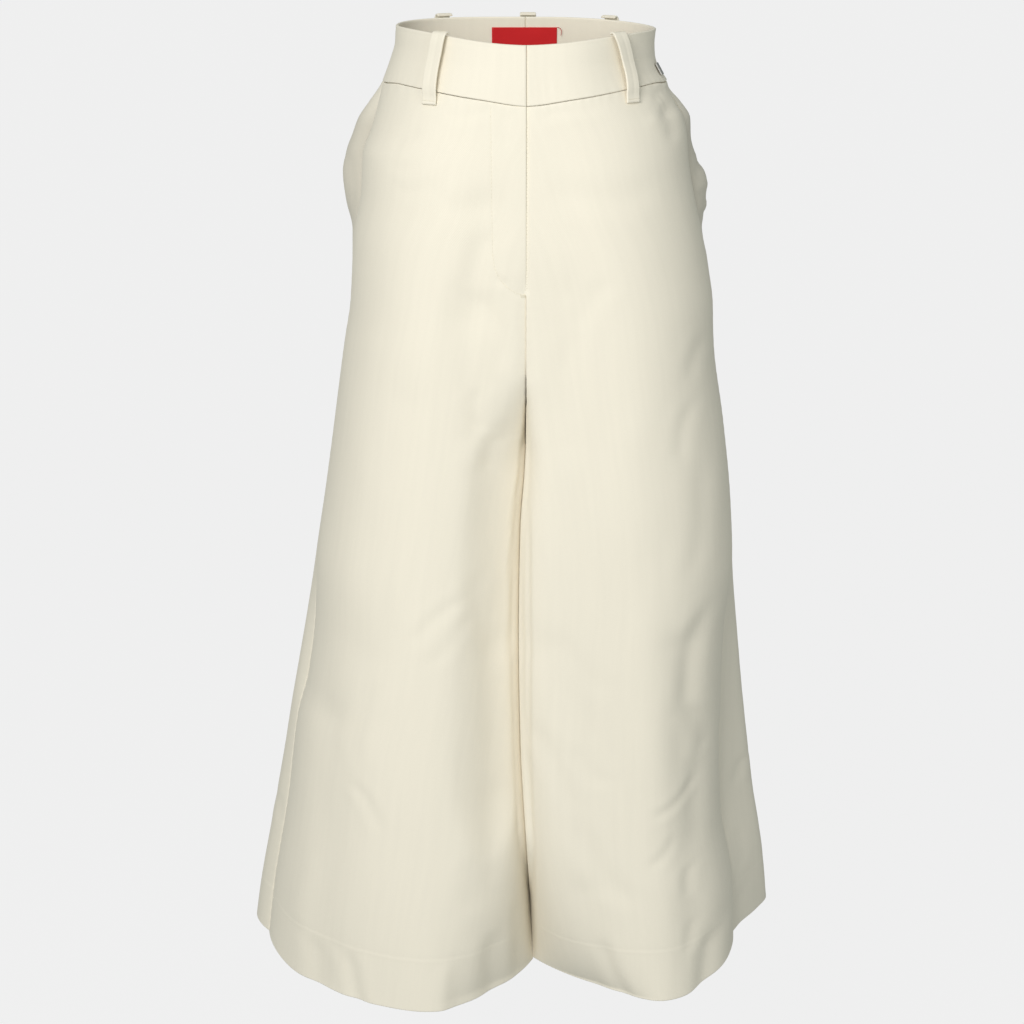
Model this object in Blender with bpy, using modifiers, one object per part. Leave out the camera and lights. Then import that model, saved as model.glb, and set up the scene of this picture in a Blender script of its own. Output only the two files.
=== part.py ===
"""Wide-leg capri pants in heavy cream cotton, standing open as they do when worn.

Frame: metres, +X to the wearer's left, +Y to the back, +Z up, origin at the middle of the
waist opening, level with the waistband's top edge at the sides.  Tables are in millimetres.
Each panel is a cloth wall lofted through level sections of one half of the garment: from the
side seam round the front crown to the centre, and from the side seam round the back.
"""
import math

import bpy
import numpy as np

MM = 0.001

# ---- cloth ---------------------------------------------------------------------------------
WALL = 1.3 * MM              # heavy cotton, one layer
HEM_WALL = 2.6 * MM          # two layers at the turned-up hem
BAND_WALL = 3.0 * MM         # waistband: two layers and interfacing
BAND_PROUD = 0.5 * MM        # how far the band stands out from the panels
FLY_PROUD = 1.2 * MM         # the right front's folded edge over the left front
FLY_EASE = 42 * MM           # width over which that step dies away
FLY_FADE = 25 * MM           # height over which it dies away below the fly
SEAM_GAP = 0.3 * MM          # between two pieces that are sewn together
LEG_GAP = 0.6 * MM           # between the two legs where they touch

# ---- heights -------------------------------------------------------------------------------
BAND_SIDE_Z = -50.5 * MM     # waist seam at the sides and the back
RIM_DIP = 9.5 * MM           # how far the top edge dips at centre front
SEAM_DIP = 11.2 * MM         # how far the waist seam dips at centre front
RIM_HALF_WIDTH = 118.5 * MM
SEAM_HALF_WIDTH = 130 * MM
SEAM_RISE = 2.8 * MM         # how far it rises again on both sides of its dip
SEAM_RISE_X = 42 * MM
SEAM_RISE_FADE = 14 * MM
FLY_END_Z = -228 * MM
CROTCH_Z = -372 * MM         # where the four leg seams meet
FRONT_CURVE_Z = -300 * MM    # the front crotch curve leaves the vertical here
BACK_CURVE_Z = -268 * MM     # the back crotch curve leaves the vertical here
HEM_Z = -905 * MM
HEM_DEPTH = 50 * MM

SIGN = {"right": -1.0, "left": 1.0}
RIM_TILT = 3 * MM            # the top edge hangs this much lower at the wearer's left side
HEM_SHIFT = {                # how the hem leaves the level, for each leg, by distance from X = 0
    "right": {"front_drop": 10 * MM, "lift": 12 * MM, "from_x": 225 * MM, "over": 50 * MM},
    "left": {"front_drop": 3 * MM, "lift": 17 * MM, "from_x": 150 * MM, "over": 75 * MM},
}
HEM_FRONT_REACH = 128 * MM   # how far forward the hem's drop is complete
WAIST_WARP = 120 * MM        # height over which the rows leave the waist seam's line
HEM_WARP_Z = -600 * MM       # the rows start to follow the hem's line here
EDGE_BOW = {"right": 1.5, "left": 1.0}   # roundness from the side seam to the back's edge
EDGE_BOW_Z = -500 * MM       # that roundness sets in here
EDGE_BOW_OVER = 150 * MM

# ---- side pockets --------------------------------------------------------------------------
MOUTH_TOP_Z = -54 * MM
MOUTH_END_Z = -190 * MM
MOUTH_GAPE = 11 * MM         # how far the back edge lies behind the front edge
MOUTH_BOW = 0.5              # extra roundness of the back beside the mouth
MOUTH_PARTING = 0.3          # share of the gape at which the two edges face their own way
POCKET_END_Z = -262 * MM
POCKET_REACH = 78 * MM       # along the front panel from the side seam
POCKET_REACHES = (0.14, 0.26, 0.4, 0.55, 0.7, 0.85, 1.0)   # columns, as shares of that
POCKET_TUCK = 45 * MM        # height over which the bag's end narrows
POCKET_NARROW = 0.35         # share of its reach that it loses there
POCKET_SLACK = 0.3           # share of its room that it has above and below the mouth
POCKET_LAP = 6 * MM          # behind the back panel's edge
POCKET_WALL = 1.0 * MM
POCKET_CLEAR = 0.9 * MM      # spare room beside the walls it lies against
POCKET_ROOM = 8.5 * MM       # from the front panel's face to the bag, near the mouth

# ---- sections, one row for each height -----------------------------------------------------
# seam: side seam.  crown: front-most point.  bow: 1 is a straight line, 2 a quarter ellipse.
FRONT_COLUMNS = ("z", "seam_x", "seam_y", "crown_x", "crown_y", "bow")
FRONT_SECTIONS = {
    "right": [
        (0, 117.5, 0, 30, -86, 1.6),
        (-16, 118.3, 0, 30, -89, 1.6),
        (-26, 121, 0, 30, -91, 1.6),
        (-37, 125, 0, 31, -93.5, 1.65),
        (-50, 130, 0, 32, -96.5, 1.7),
        (-70, 134.5, -5, 35, -100, 1.8),
        (-92, 141, -9, 39, -103, 1.85),
        (-114, 149, -9, 43, -106, 1.9),
        (-148, 151, -9, 50, -109, 1.9),
        (-190, 158.5, -2, 60, -112, 1.9),
        (-215, 160.5, 0, 66, -113, 1.9),
        (-253, 163, 0, 74, -114, 1.9),
        (-290, 169, 0, 80, -115, 1.9),
        (-368, 180, 0, 86, -117, 1.9),
        (-446, 191.5, 0, 88, -119, 1.9),
        (-500, 199, 1, 90, -121, 1.9),
        (-560, 202, 2, 91, -123, 1.85),
        (-618, 210, 3, 91, -125, 1.85),
        (-660, 221, 4, 91, -126, 1.85),
        (-750, 233, 6, 90, -129, 1.8),
        (-838, 248.5, 9, 88, -132, 1.7),
        (-905, 257, 11.5, 87, -133, 1.62),
    ],
    "left": [
        (0, 118, 0, 30, -86, 1.6),
        (-16, 116.2, 0, 30, -89, 1.6),
        (-26, 116.6, 0, 30, -91, 1.6),
        (-37, 119.6, 0, 31, -93.5, 1.65),
        (-50, 128, 0, 32, -96.5, 1.7),
        (-57, 130, -1, 33, -98, 1.75),
        (-67, 135.5, -4, 35, -100, 1.8),
        (-80, 143, -7, 37, -101.5, 1.85),
        (-96, 146.5, -8, 40, -103.5, 1.9),
        (-120, 148.5, -9, 44, -106.5, 1.95),
        (-149, 153.5, -9, 50, -109, 1.95),
        (-190, 163, -2, 60, -112, 1.95),
        (-215, 168, 0, 66, -113, 1.95),
        (-253, 174, 0, 74, -114, 1.95),
        (-290, 175.5, 0, 80, -115, 1.95),
        (-368, 186.5, 0, 86, -117, 1.9),
        (-446, 195, 0, 89, -119, 1.9),
        (-500, 197.5, -1, 92, -120, 1.9),
        (-565, 191.5, -2, 98, -121, 1.9),
        (-664, 188.7, -4, 105, -122, 1.85),
        (-750, 191.5, -5, 112, -123, 1.8),
        (-834, 205, -7, 119, -124, 1.8),
        (-905, 207, -9, 125, -124, 1.8),
    ],
}
# edge: the outermost fold of the back panel.  seat: its rearmost point.
BACK_COLUMNS = ("z", "edge_x", "edge_y", "seat_x", "seat_y", "bow")
BACK_SECTIONS = {
    "right": [
        (0, 118, 7, 30, 88, 2.2),
        (-16, 118.8, 7, 30, 91, 2.2),
        (-26, 121.6, 7, 30, 93, 2.2),
        (-37, 125.4, 7, 31, 95, 2.2),
        (-50, 130.5, 7, 32, 98, 2.1),
        (-70, 144, 12, 38, 103, 2.1),
        (-86, 154.9, 17, 43, 107, 2.1),
        (-103, 161.5, 22, 49, 111, 2.1),
        (-119, 168, 26, 54, 115, 2.1),
        (-136, 170.7, 28, 58, 118, 2.1),
        (-163, 168, 28, 65, 123, 2.1),
        (-190, 161.7, 24, 71, 127, 2.1),
        (-215, 161.6, 20, 75, 129, 2.1),
        (-253, 163.5, 18, 79, 130, 2.1),
        (-290, 169.8, 18, 80, 128, 2.1),
        (-368, 181, 18, 84, 122, 2.0),
        (-446, 192.4, 18, 89, 119, 2.0),
        (-500, 201.5, 20, 93, 118, 2.0),
        (-571, 214.3, 24, 98, 119, 1.95),
        (-659, 230.1, 31, 105, 121, 1.9),
        (-749, 246.8, 38, 113, 124, 1.85),
        (-841, 264.8, 45, 120, 127, 1.8),
        (-905, 274.7, 51, 124, 129, 1.8),
    ],
    "left": [
        (0, 118.5, 7, 30, 88, 1.8),
        (-16, 116.5, 7, 30, 91, 1.8),
        (-26, 117.1, 7, 30, 93, 1.8),
        (-37, 120, 7, 31, 95, 1.9),
        (-50, 128.5, 7, 32, 98, 2.0),
        (-57, 131, 8, 34, 99.5, 2.0),
        (-70, 142, 12, 38, 103, 2.1),
        (-86, 151.8, 17, 43, 107, 2.1),
        (-103, 152.7, 22, 49, 111, 2.1),
        (-119, 157.1, 26, 54, 115, 2.1),
        (-136, 166.2, 28, 58, 118, 2.1),
        (-150, 170.1, 28, 62, 121, 2.1),
        (-163, 170.3, 28, 65, 123, 2.1),
        (-178, 167, 26, 68, 125, 2.1),
        (-190, 164.6, 24, 71, 127, 2.1),
        (-215, 169.5, 20, 75, 129, 2.1),
        (-253, 174.5, 18, 79, 130, 2.1),
        (-290, 176, 18, 80, 128, 2.1),
        (-368, 187.2, 18, 84, 122, 2.0),
        (-446, 195.6, 18, 89, 119, 2.0),
        (-500, 199.5, 22, 93, 118, 2.0),
        (-571, 207.5, 32, 98, 119, 1.95),
        (-659, 217.9, 45, 104, 121, 1.9),
        (-749, 230.6, 57, 110, 124, 1.85),
        (-841, 245.7, 70, 118, 128, 1.8),
        (-905, 252.5, 79, 124, 131, 1.8),
    ],
}
# how square a section turns from its crown or seat to the centre, where the legs press together
INNER_COLUMNS = ("z", "bow_front", "bow_back")
INNER_BOWS = {
    "right": [
        (0, 1.0, 1.0),
        (-120, 1.0, 1.05),
        (-190, 1.0, 1.2),
        (-215, 1.1, 1.3),
        (-253, 1.4, 1.5),
        (-290, 1.8, 1.9),
        (-310, 2.0, 2.2),
        (-330, 2.5, 2.7),
        (-350, 3.5, 3.5),
        (-372, 4.7, 4.6),
        (-400, 4.5, 4.8),
        (-446, 3.9, 4.6),
        (-500, 3.5, 4.3),
        (-560, 3.2, 3.9),
        (-618, 3.0, 3.4),
        (-660, 3.0, 3.0),
        (-750, 2.7, 2.3),
        (-838, 1.9, 1.8),
        (-905, 1.3, 1.3),
    ],
    "left": [
        (0, 1.0, 1.0),
        (-120, 1.0, 1.05),
        (-190, 1.0, 1.2),
        (-215, 1.1, 1.3),
        (-253, 1.5, 1.5),
        (-290, 2.2, 2.0),
        (-310, 2.7, 2.4),
        (-330, 3.6, 3.0),
        (-350, 5.2, 3.8),
        (-372, 7.4, 4.8),
        (-400, 7.0, 4.9),
        (-446, 6.6, 4.8),
        (-500, 6.2, 4.5),
        (-560, 5.8, 4.0),
        (-664, 5.0, 3.2),
        (-750, 4.0, 2.5),
        (-834, 2.4, 1.8),
        (-905, 1.2, 1.3),
    ],
}
# centre front and centre back lines, down to where the crotch curves begin
CENTRE_COLUMNS = ("z", "front_y", "back_y")
CENTRE_LINE = [
    (0, -88.5, 88.5),
    (-50, -98, 98),
    (-100, -104.5, 111),
    (-150, -109, 121),
    (-200, -111.5, 125.5),
    (-268, -111.5, 124),
    (-300, -110, 121),
]
# where the two legs touch, which is also where the inseams run
INSEAM_COLUMNS = ("z", "x", "y")
INSEAM_LINE = [
    (-372, 0, 0),
    (-400, -1.5, -8),
    (-450, -5, -18),
    (-550, -6.5, -28),
    (-650, -5, -32),
    (-790, 2.5, -32),
    (-905, 8, -30),
]
# broad troughs (depth above 0) and ridges (below 0) from one point of a panel to another
FOLD_COLUMNS = ("panel", "x0", "z0", "x1", "z1", "width", "depth")
FOLDS = [
    ("front_right", -36, -150, -50, -245, 20, 2.2),
    ("front_right", -50, -245, -42, -350, 22, 2.6),
    ("front_right", -110, -330, -150, -560, 26, 1.6),
    ("front_right", -40, -350, -28, -560, 17, 3.8),
    ("front_right", -28, -560, -32, -800, 17, 3.4),
    ("front_right", -185, -640, -195, -905, 20, 2.5),
    ("front_left", 130, -75, 132, -89, 8, 2.2),
    ("front_left", 146, -560, 166, -905, 18, 3.5),
    ("front_left", 22, -560, 128, -760, 22, 2.4),
    ("front_left", 40, -230, 34, -360, 20, 1.6),
    ("front_left", 60, -800, 72, -905, 18, 2.0),
    ("back_right", -40, -300, -120, -380, 18, 3.0),
    ("back_right", -150, -420, -175, -640, 22, 2.4),
    ("back_right", -70, -560, -60, -880, 24, 3.0),
    ("back_right", -190, -700, -205, -905, 20, 3.0),
    ("back_left", 36, -310, 110, -395, 18, 2.6),
    ("back_left", 148, -440, 160, -700, 22, 2.6),
    ("back_left", 74, -600, 78, -905, 24, 3.2),
    ("back_left", 186, -740, 196, -905, 20, 2.6),
]

# ---- grid densities ------------------------------------------------------------------------
FIRST_ROW_Z = -58 * MM       # the row below the waist seam, where the sides start to flare
HIP_ROWS_Z = (-67 * MM, -212 * MM)
HIP_ROWS = 10
RISE_ROWS = 5                # from the hip rows down to the front crotch curve
TURN_ANGLES = (15, 30, 45, 60, 75, 90)   # rows down the crotch curve, in degrees
UNDER_ROWS_Z = (-378 * MM, -390 * MM, -412 * MM)
LEG_ROWS = 11
HEM_FADE = 6 * MM            # height over which the second layer of the hem begins
OUTER_STEPS = 8              # columns from a side to the crown or the seat
EDGE_STEPS = 3               # columns from the side seam to the back's edge fold
INNER_STEPS = 9              # columns from the crown or the seat to the centre
BAND_ROWS = 5
BAND_COLS = 12
CURVE_STEPS = 40             # fine steps on a quarter before it is spaced evenly

# ---- belt loops, label, plate --------------------------------------------------------------
LOOP_WIDTH = 14 * MM
LOOP_WALL = 2.0 * MM
LOOP_COLUMNS = ("name", "face", "top_x", "foot_x", "room")
LOOPS = [
    ("belt_loop_front_right", "front", -74, -83.5, 5.0),
    ("belt_loop_front_left", "front", 80, 91.5, 5.0),
    ("belt_loop_back_right", "back", -75.5, -83, 5.0),
    ("belt_loop_back_left", "back", 77.5, 85, 5.0),
    ("belt_loop_back_centre", "back", 2.3, 2.3, 6.0),
]
LABEL_WIDTH = 61 * MM
LABEL_HEIGHT = 28 * MM
LABEL_TOP_Z = -9.8 * MM
LABEL_X = -1 * MM
LABEL_WALL = 0.8 * MM
PLATE_LONG = 12 * MM
PLATE_WIDE = 8 * MM
PLATE_THICK = 1.4 * MM
PLATE_Z = -39 * MM
PLATE_CLEAR = 0.9 * MM       # the flat plate stands off the curved band by this much
PLATE_PARTS = (0.0, 0.12, 0.24)   # its front, middle and back place along the band's front
PLATE_ROUNDING = 0.4 * MM
ZIP_HALF_WIDTH = 12 * MM
ZIP_WALL = 1.0 * MM
ZIP_PAST = 4 * MM            # below the end of the fly
SHIELD_HALF_WIDTH = 21 * MM
SHIELD_WALL = 1.3 * MM
SHIELD_PAST = 9 * MM
FLY_TOP_DROP = 1.5 * MM      # zip and shield start this far below the waist seam

CREAM = (0.80, 0.74, 0.60, 1.0)
INNER_CREAM = (0.76, 0.69, 0.55, 1.0)
LABEL_RED = (0.50, 0.012, 0.015, 1.0)
STEEL = (0.55, 0.55, 0.56, 1.0)


# ---- small geometry helpers ----------------------------------------------------------------
def smooth_step(value):
    """0 below 0, 1 above 1, and a soft S between."""
    value = np.clip(value, 0.0, 1.0)
    return value * value * (3.0 - 2.0 * value)


def column(table, columns, name, z):
    """One named column of a table in metres at the heights z, by a monotone cubic."""
    rows = np.array(sorted(table))
    knots = rows[:, 0] * MM
    values = rows[:, columns.index(name)]
    if not name.startswith("bow"):
        values = values * MM
    step = np.diff(knots)
    slope = np.diff(values) / step
    before, after = slope[:-1], slope[1:]
    heavy = 2 * step[1:] + step[:-1]
    light = step[1:] + 2 * step[:-1]
    same_way = before * after > 0
    safe_before = np.where(same_way, before, 1.0)
    safe_after = np.where(same_way, after, 1.0)
    mean = (heavy + light) / (heavy / safe_before + light / safe_after)
    tangent = np.concatenate(([slope[0]], np.where(same_way, mean, 0.0), [slope[-1]]))
    z = np.clip(z, knots[0], knots[-1])
    cell = np.clip(np.searchsorted(knots, z) - 1, 0, len(step) - 1)
    part = (z - knots[cell]) / step[cell]
    start = (1 + 2 * part) * (1 - part) ** 2
    finish = part ** 2 * (3 - 2 * part)
    bend = part * (1 - part) ** 2 * tangent[cell] - part ** 2 * (1 - part) * tangent[cell + 1]
    return start * values[cell] + finish * values[cell + 1] + step[cell] * bend


def quarter(side_x, side_y, crown_x, crown_y, bow, part):
    """A rounded quarter: part 0 is the side point, part 1 the crown point."""
    angle = part * math.pi / 2
    across = np.clip(np.cos(angle), 0, 1) ** (2 / bow)
    along = np.clip(np.sin(angle), 0, 1) ** (2 / bow)
    return crown_x + (side_x - crown_x) * across, side_y + (crown_y - side_y) * along


def crotch_curve(z, top_z, top_y):
    """A rounded quarter from the centre seam, where it is vertical, to the crotch point."""
    drop = np.clip((top_z - z) / (top_z - CROTCH_Z), 0.0, 1.0)
    return top_y * (1.0 - drop ** 2) ** 0.65


def centre_point(side, face, z):
    """Where a section of one half ends: centre seam above the crotch, inseam below it."""
    gap = np.where(z < CROTCH_Z, LEG_GAP, SEAM_GAP)
    line_y = column(CENTRE_LINE, CENTRE_COLUMNS, face + "_y", z)
    top_z = FRONT_CURVE_Z if face == "front" else BACK_CURVE_Z
    top_y = float(column(CENTRE_LINE, CENTRE_COLUMNS, face + "_y", np.array([top_z]))[0])
    seam_y = np.where(z > top_z, line_y, crotch_curve(z, top_z, top_y))
    leg_y = column(INSEAM_LINE, INSEAM_COLUMNS, "y", z)
    leg_x = column(INSEAM_LINE, INSEAM_COLUMNS, "x", z)
    below = z < CROTCH_Z
    x = np.where(below, leg_x, 0.0) + SIGN[side] * gap / 2
    return x, np.where(below, leg_y, seam_y)


def mouth(z):
    """How far the pocket mouth gapes: 0 at its ends, 1 in the middle."""
    part = np.clip((MOUTH_TOP_Z - z) / (MOUTH_TOP_Z - MOUTH_END_Z), 0.0, 1.0)
    return np.sin(math.pi * part)


def front_curve(side, z, part):
    """Front half section: part 0 is the side seam, 1 the crown, 2 the centre."""
    table = FRONT_SECTIONS[side]
    pick = {name: column(table, FRONT_COLUMNS, name, z) for name in FRONT_COLUMNS[1:]}
    sign = SIGN[side]
    seam_x, crown_x = sign * pick["seam_x"], sign * pick["crown_x"]
    centre_x, centre_y = centre_point(side, "front", z)
    inner_bow = column(INNER_BOWS[side], INNER_COLUMNS, "bow_front", z)
    out_x, out_y = quarter(seam_x, pick["seam_y"], crown_x, pick["crown_y"],
                           pick["bow"], np.clip(part, 0, 1))
    in_x, in_y = quarter(centre_x, centre_y, crown_x, pick["crown_y"],
                         inner_bow, np.clip(2 - part, 0, 1))
    inner = part > 1
    return np.where(inner, in_x, out_x), np.where(inner, in_y, out_y)


def back_curve(side, z, part):
    """Back half section: 0 is the side seam, 1 the edge fold, 2 the seat, 3 the centre."""
    table = BACK_SECTIONS[side]
    pick = {name: column(table, BACK_COLUMNS, name, z) for name in BACK_COLUMNS[1:]}
    sign = SIGN[side]
    front = FRONT_SECTIONS[side]
    seam_x = sign * column(front, FRONT_COLUMNS, "seam_x", z)
    seam_y = column(front, FRONT_COLUMNS, "seam_y", z) + mouth(z) * MOUTH_GAPE
    edge_x, seat_x = sign * pick["edge_x"], sign * pick["seat_x"]
    centre_x, centre_y = centre_point(side, "back", z)
    inner_bow = column(INNER_BOWS[side], INNER_COLUMNS, "bow_back", z)
    side_part = np.clip(part, 0, 1)
    lower = smooth_step((EDGE_BOW_Z - z) / EDGE_BOW_OVER)
    bow = 1.0 + (EDGE_BOW[side] - 1.0) * lower + MOUTH_BOW * mouth(z)
    side_x, side_y = quarter(edge_x, pick["edge_y"], seam_x, seam_y, bow, 1 - side_part)
    out_x, out_y = quarter(edge_x, pick["edge_y"], seat_x, pick["seat_y"],
                           pick["bow"], np.clip(part - 1, 0, 1))
    in_x, in_y = quarter(centre_x, centre_y, seat_x, pick["seat_y"],
                         inner_bow, np.clip(3 - part, 0, 1))
    x = np.where(part < 1, side_x, np.where(part > 2, in_x, out_x))
    y = np.where(part < 1, side_y, np.where(part > 2, in_y, out_y))
    return x, y


def rim_z(x, y):
    """Height of the waistband's top edge, with its dip at the front and its tilt."""
    dip = smooth_step(1 - np.abs(x) / RIM_HALF_WIDTH)
    tilt = np.clip(x / RIM_HALF_WIDTH, 0, 1) ** 2
    return -RIM_DIP * dip * (y < 0) - RIM_TILT * tilt


def waist_seam_z(x, y):
    """Height of the seam under the waistband."""
    dip = smooth_step(1 - np.abs(x) / SEAM_HALF_WIDTH)
    rise = smooth_step(np.abs(x) / SEAM_RISE_X)
    rise = rise * smooth_step((SEAM_HALF_WIDTH - np.abs(x)) / SEAM_RISE_FADE)
    return BAND_SIDE_Z + (SEAM_RISE * rise - SEAM_DIP * dip) * (y < 0)


def hem_shift(side, x, y):
    """How far the hem is above the level HEM_Z at a point of its ring."""
    shape = HEM_SHIFT[side]
    drop = shape["front_drop"] * np.clip(-y / HEM_FRONT_REACH, 0, 1)
    lift = shape["lift"] * smooth_step((np.abs(x) - shape["from_x"]) / shape["over"])
    return lift - drop


def warped_height(side, level, x, y):
    """Real height of a nominal row, so that the rows end at the waist seam and at the hem."""
    at_top = waist_seam_z(x, y) - SEAM_GAP / 2 - BAND_SIDE_Z
    near_top = np.clip(1 - (BAND_SIDE_Z - level) / WAIST_WARP, 0, 1) ** 2
    near_hem = np.clip((level - HEM_WARP_Z) / (HEM_Z - HEM_WARP_Z), 0, 1) ** 1.5
    return level + at_top * near_top + hem_shift(side, x, y) * near_hem


def run_length(line):
    """Distance travelled along a polyline at each of its points."""
    return np.concatenate(([0.0], np.cumsum(np.linalg.norm(np.diff(line, axis=0), axis=1))))


def at_distance(line, wanted):
    """Points of a polyline at the wanted distances from its start."""
    travel = run_length(line)
    return np.stack([np.interp(wanted, travel, line[:, axis]) for axis in range(3)], axis=1)


def spaced(line, count):
    """The same polyline with count points at even distances along it."""
    return at_distance(line, np.linspace(0.0, run_length(line)[-1], count))


def trimmed(line, first, last):
    """The polyline with a short length cut off its two ends."""
    travel = run_length(line)
    keep = (travel > first) & (travel < travel[-1] - last)
    return at_distance(line, np.concatenate(([first], travel[keep], [travel[-1] - last])))


def section_line(curve, side, level, start, finish, steps=CURVE_STEPS):
    """A 3-D line along one section, from part start to part finish, at its real height."""
    part = np.linspace(start, finish, steps * int(finish - start) + 1)
    flat = np.full_like(part, level)
    x, y = curve(side, flat, part)
    z = warped_height(side, flat, x, y)
    x, y = curve(side, z, part)
    return np.stack([x, y, z], axis=1)


def row_levels():
    """Nominal heights of the rows, close together at the pockets and round the crotch."""
    hip = np.linspace(*HIP_ROWS_Z, HIP_ROWS)
    rise = np.linspace(HIP_ROWS_Z[1], FRONT_CURVE_Z, RISE_ROWS + 1)[1:]
    crotch = FRONT_CURVE_Z - (FRONT_CURVE_Z - CROTCH_Z) * np.sin(np.radians(TURN_ANGLES))
    leg = np.linspace(UNDER_ROWS_Z[-1], HEM_Z + HEM_DEPTH + HEM_FADE, LEG_ROWS + 1)[1:]
    hem = np.array([HEM_Z + HEM_DEPTH, HEM_Z + HEM_DEPTH / 2, HEM_Z])
    top = np.array([BAND_SIDE_Z, FIRST_ROW_Z])
    return np.concatenate((top, hip, rise, crotch, UNDER_ROWS_Z, leg, hem))


def front_grid(side):
    """Outer points of a front panel: rows from waist seam to hem, columns to the centre."""
    rows = []
    for level in row_levels():
        outer = section_line(front_curve, side, level, 0, 1)
        inner = section_line(front_curve, side, level, 1, 2, INNER_STEPS)
        outer = spaced(trimmed(outer, SEAM_GAP / 2, 0), OUTER_STEPS + 1)
        rows.append(np.concatenate((outer[:-1], shortened(inner, inseam_trim(level)))))
    return np.array(rows)


def back_grid(side):
    """Outer points of a back panel: columns from the side seam to the centre."""
    rows = []
    for level in row_levels():
        edge = section_line(back_curve, side, level, 0, 1)
        outer = section_line(back_curve, side, level, 1, 2)
        inner = section_line(back_curve, side, level, 2, 3, INNER_STEPS)
        edge = spaced(trimmed(edge, SEAM_GAP / 2, 0), EDGE_STEPS + 1)
        outer = spaced(outer, OUTER_STEPS + 1)
        inner = shortened(inner, inseam_trim(level))
        rows.append(np.concatenate((edge[:-1], outer[:-1], inner)))
    return np.array(rows)


def shortened(line, cut):
    """The line with its last point drawn back along it by a short length."""
    line = line.copy()
    line[-1] += unit(line[-2] - line[-1]) * cut
    return line


def inseam_trim(level):
    """Front and back part by a seam gap at the inseam, but not at the centre seams."""
    return SEAM_GAP / 2 if level <= CROTCH_Z + 1e-9 else 0.0


def grid_normals(grid, sign):
    """Unit normals at the grid's points, from the faces round each, pointing outwards."""
    across = grid[1:, 1:] - grid[:-1, :-1]
    down = grid[1:, :-1] - grid[:-1, 1:]
    face = np.cross(across, down) * sign
    total = np.zeros_like(grid)
    total[:-1, :-1] += face
    total[1:, :-1] += face
    total[:-1, 1:] += face
    total[1:, 1:] += face
    return total / np.maximum(np.linalg.norm(total, axis=2, keepdims=True), 1e-12)


def unit(vectors):
    """Vectors brought to length 1."""
    return vectors / np.maximum(np.linalg.norm(vectors, axis=-1, keepdims=True), 1e-12)


def fold_depth(panel, points):
    """Depth of the named troughs at the points of a panel, by their distance in X and Z."""
    depth = np.zeros(points.shape[:2])
    for name, x0, z0, x1, z1, width, deep in FOLDS:
        if name != panel:
            continue
        start = np.array([x0, z0]) * MM
        run = np.array([x1, z1]) * MM - start
        offset = points[:, :, [0, 2]] - start
        along = offset @ run / (run @ run)
        nearest = np.clip(along, 0, 1)[..., None] * run
        away = np.linalg.norm(offset - nearest, axis=2)
        depth += deep * MM * np.exp(-(away / (width * MM)) ** 2)
    return depth


def half_panels(side):
    """Outer points and normals of one half's front and back panel, agreed at their seams."""
    sign = SIGN[side]
    front, back = front_grid(side), back_grid(side)
    front_out = grid_normals(front, sign)
    back_out = grid_normals(back, -sign)
    front = front - front_out * fold_depth("front_" + side, front)[..., None]
    back = back - back_out * fold_depth("back_" + side, back)[..., None]
    front_out = grid_normals(front, sign)
    back_out = grid_normals(back, -sign)
    shared_side = unit(front_out[:, 0] + back_out[:, 0])
    apart = smooth_step(mouth(row_levels()) / MOUTH_PARTING)[:, None]
    front_out[:, 0] = unit(shared_side * (1 - apart) + front_out[:, 0] * apart)
    back_out[:, 0] = unit(shared_side * (1 - apart) + back_out[:, 0] * apart)
    legs = row_levels() <= CROTCH_Z + 1e-9
    shared_inseam = unit(front_out[:, -1] + back_out[:, -1])
    front_out[legs, -1] = shared_inseam[legs]
    back_out[legs, -1] = shared_inseam[legs]
    for normals, top_z in ((front_out, FRONT_CURVE_Z), (back_out, BACK_CURVE_Z)):
        straight = row_levels() > top_z
        normals[straight, -1, 0] = 0.0
        normals[:, -1] = unit(normals[:, -1])
    return (front, front_out), (back, back_out)


def kept_on_side(side, points):
    """Points held on their own half: off the centre plane, and off the other leg."""
    z = points[..., 2]
    leg_x = column(INSEAM_LINE, INSEAM_COLUMNS, "x", z)
    limit = np.where(z < CROTCH_Z, leg_x, 0.0)
    half_gap = np.where(z < CROTCH_Z, LEG_GAP, SEAM_GAP) / 2
    kept = points.copy()
    if side == "right":
        kept[..., 0] = np.minimum(points[..., 0], limit - half_gap)
    else:
        kept[..., 0] = np.maximum(points[..., 0], limit + half_gap)
    return kept


# ---- Blender objects -----------------------------------------------------------------------
def cloth_material(name, color, roughness=0.9, metallic=0.0):
    """A plain Principled material for one piece."""
    material = bpy.data.materials.new(name)
    material.use_nodes = True
    shader = material.node_tree.nodes["Principled BSDF"]
    shader.inputs["Base Color"].default_value = color
    shader.inputs["Roughness"].default_value = roughness
    shader.inputs["Metallic"].default_value = metallic
    material.diffuse_color = color
    return material


def new_piece(name, points, faces, material):
    """A mesh object in the garment's collection."""
    mesh = bpy.data.meshes.new(name)
    mesh.from_pydata([tuple(point) for point in points], [], faces)
    mesh.materials.append(material)
    mesh.shade_smooth()
    piece = bpy.data.objects.new(name, mesh)
    garment.objects.link(piece)
    piece.parent = waist_empty
    return piece


def grid_faces(rows, cols, first=0, flip=False):
    """Quads of a grid whose points are numbered row by row from first.

    Each starts at the same corner either way round, so both faces of a wall split alike.
    """
    faces = []
    for row in range(rows - 1):
        for col in range(cols - 1):
            corner = first + row * cols + col
            beside, below = corner + 1, corner + cols
            if flip:
                faces.append((corner, below, below + 1, beside))
            else:
                faces.append((corner, beside, below + 1, below))
    return faces


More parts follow.
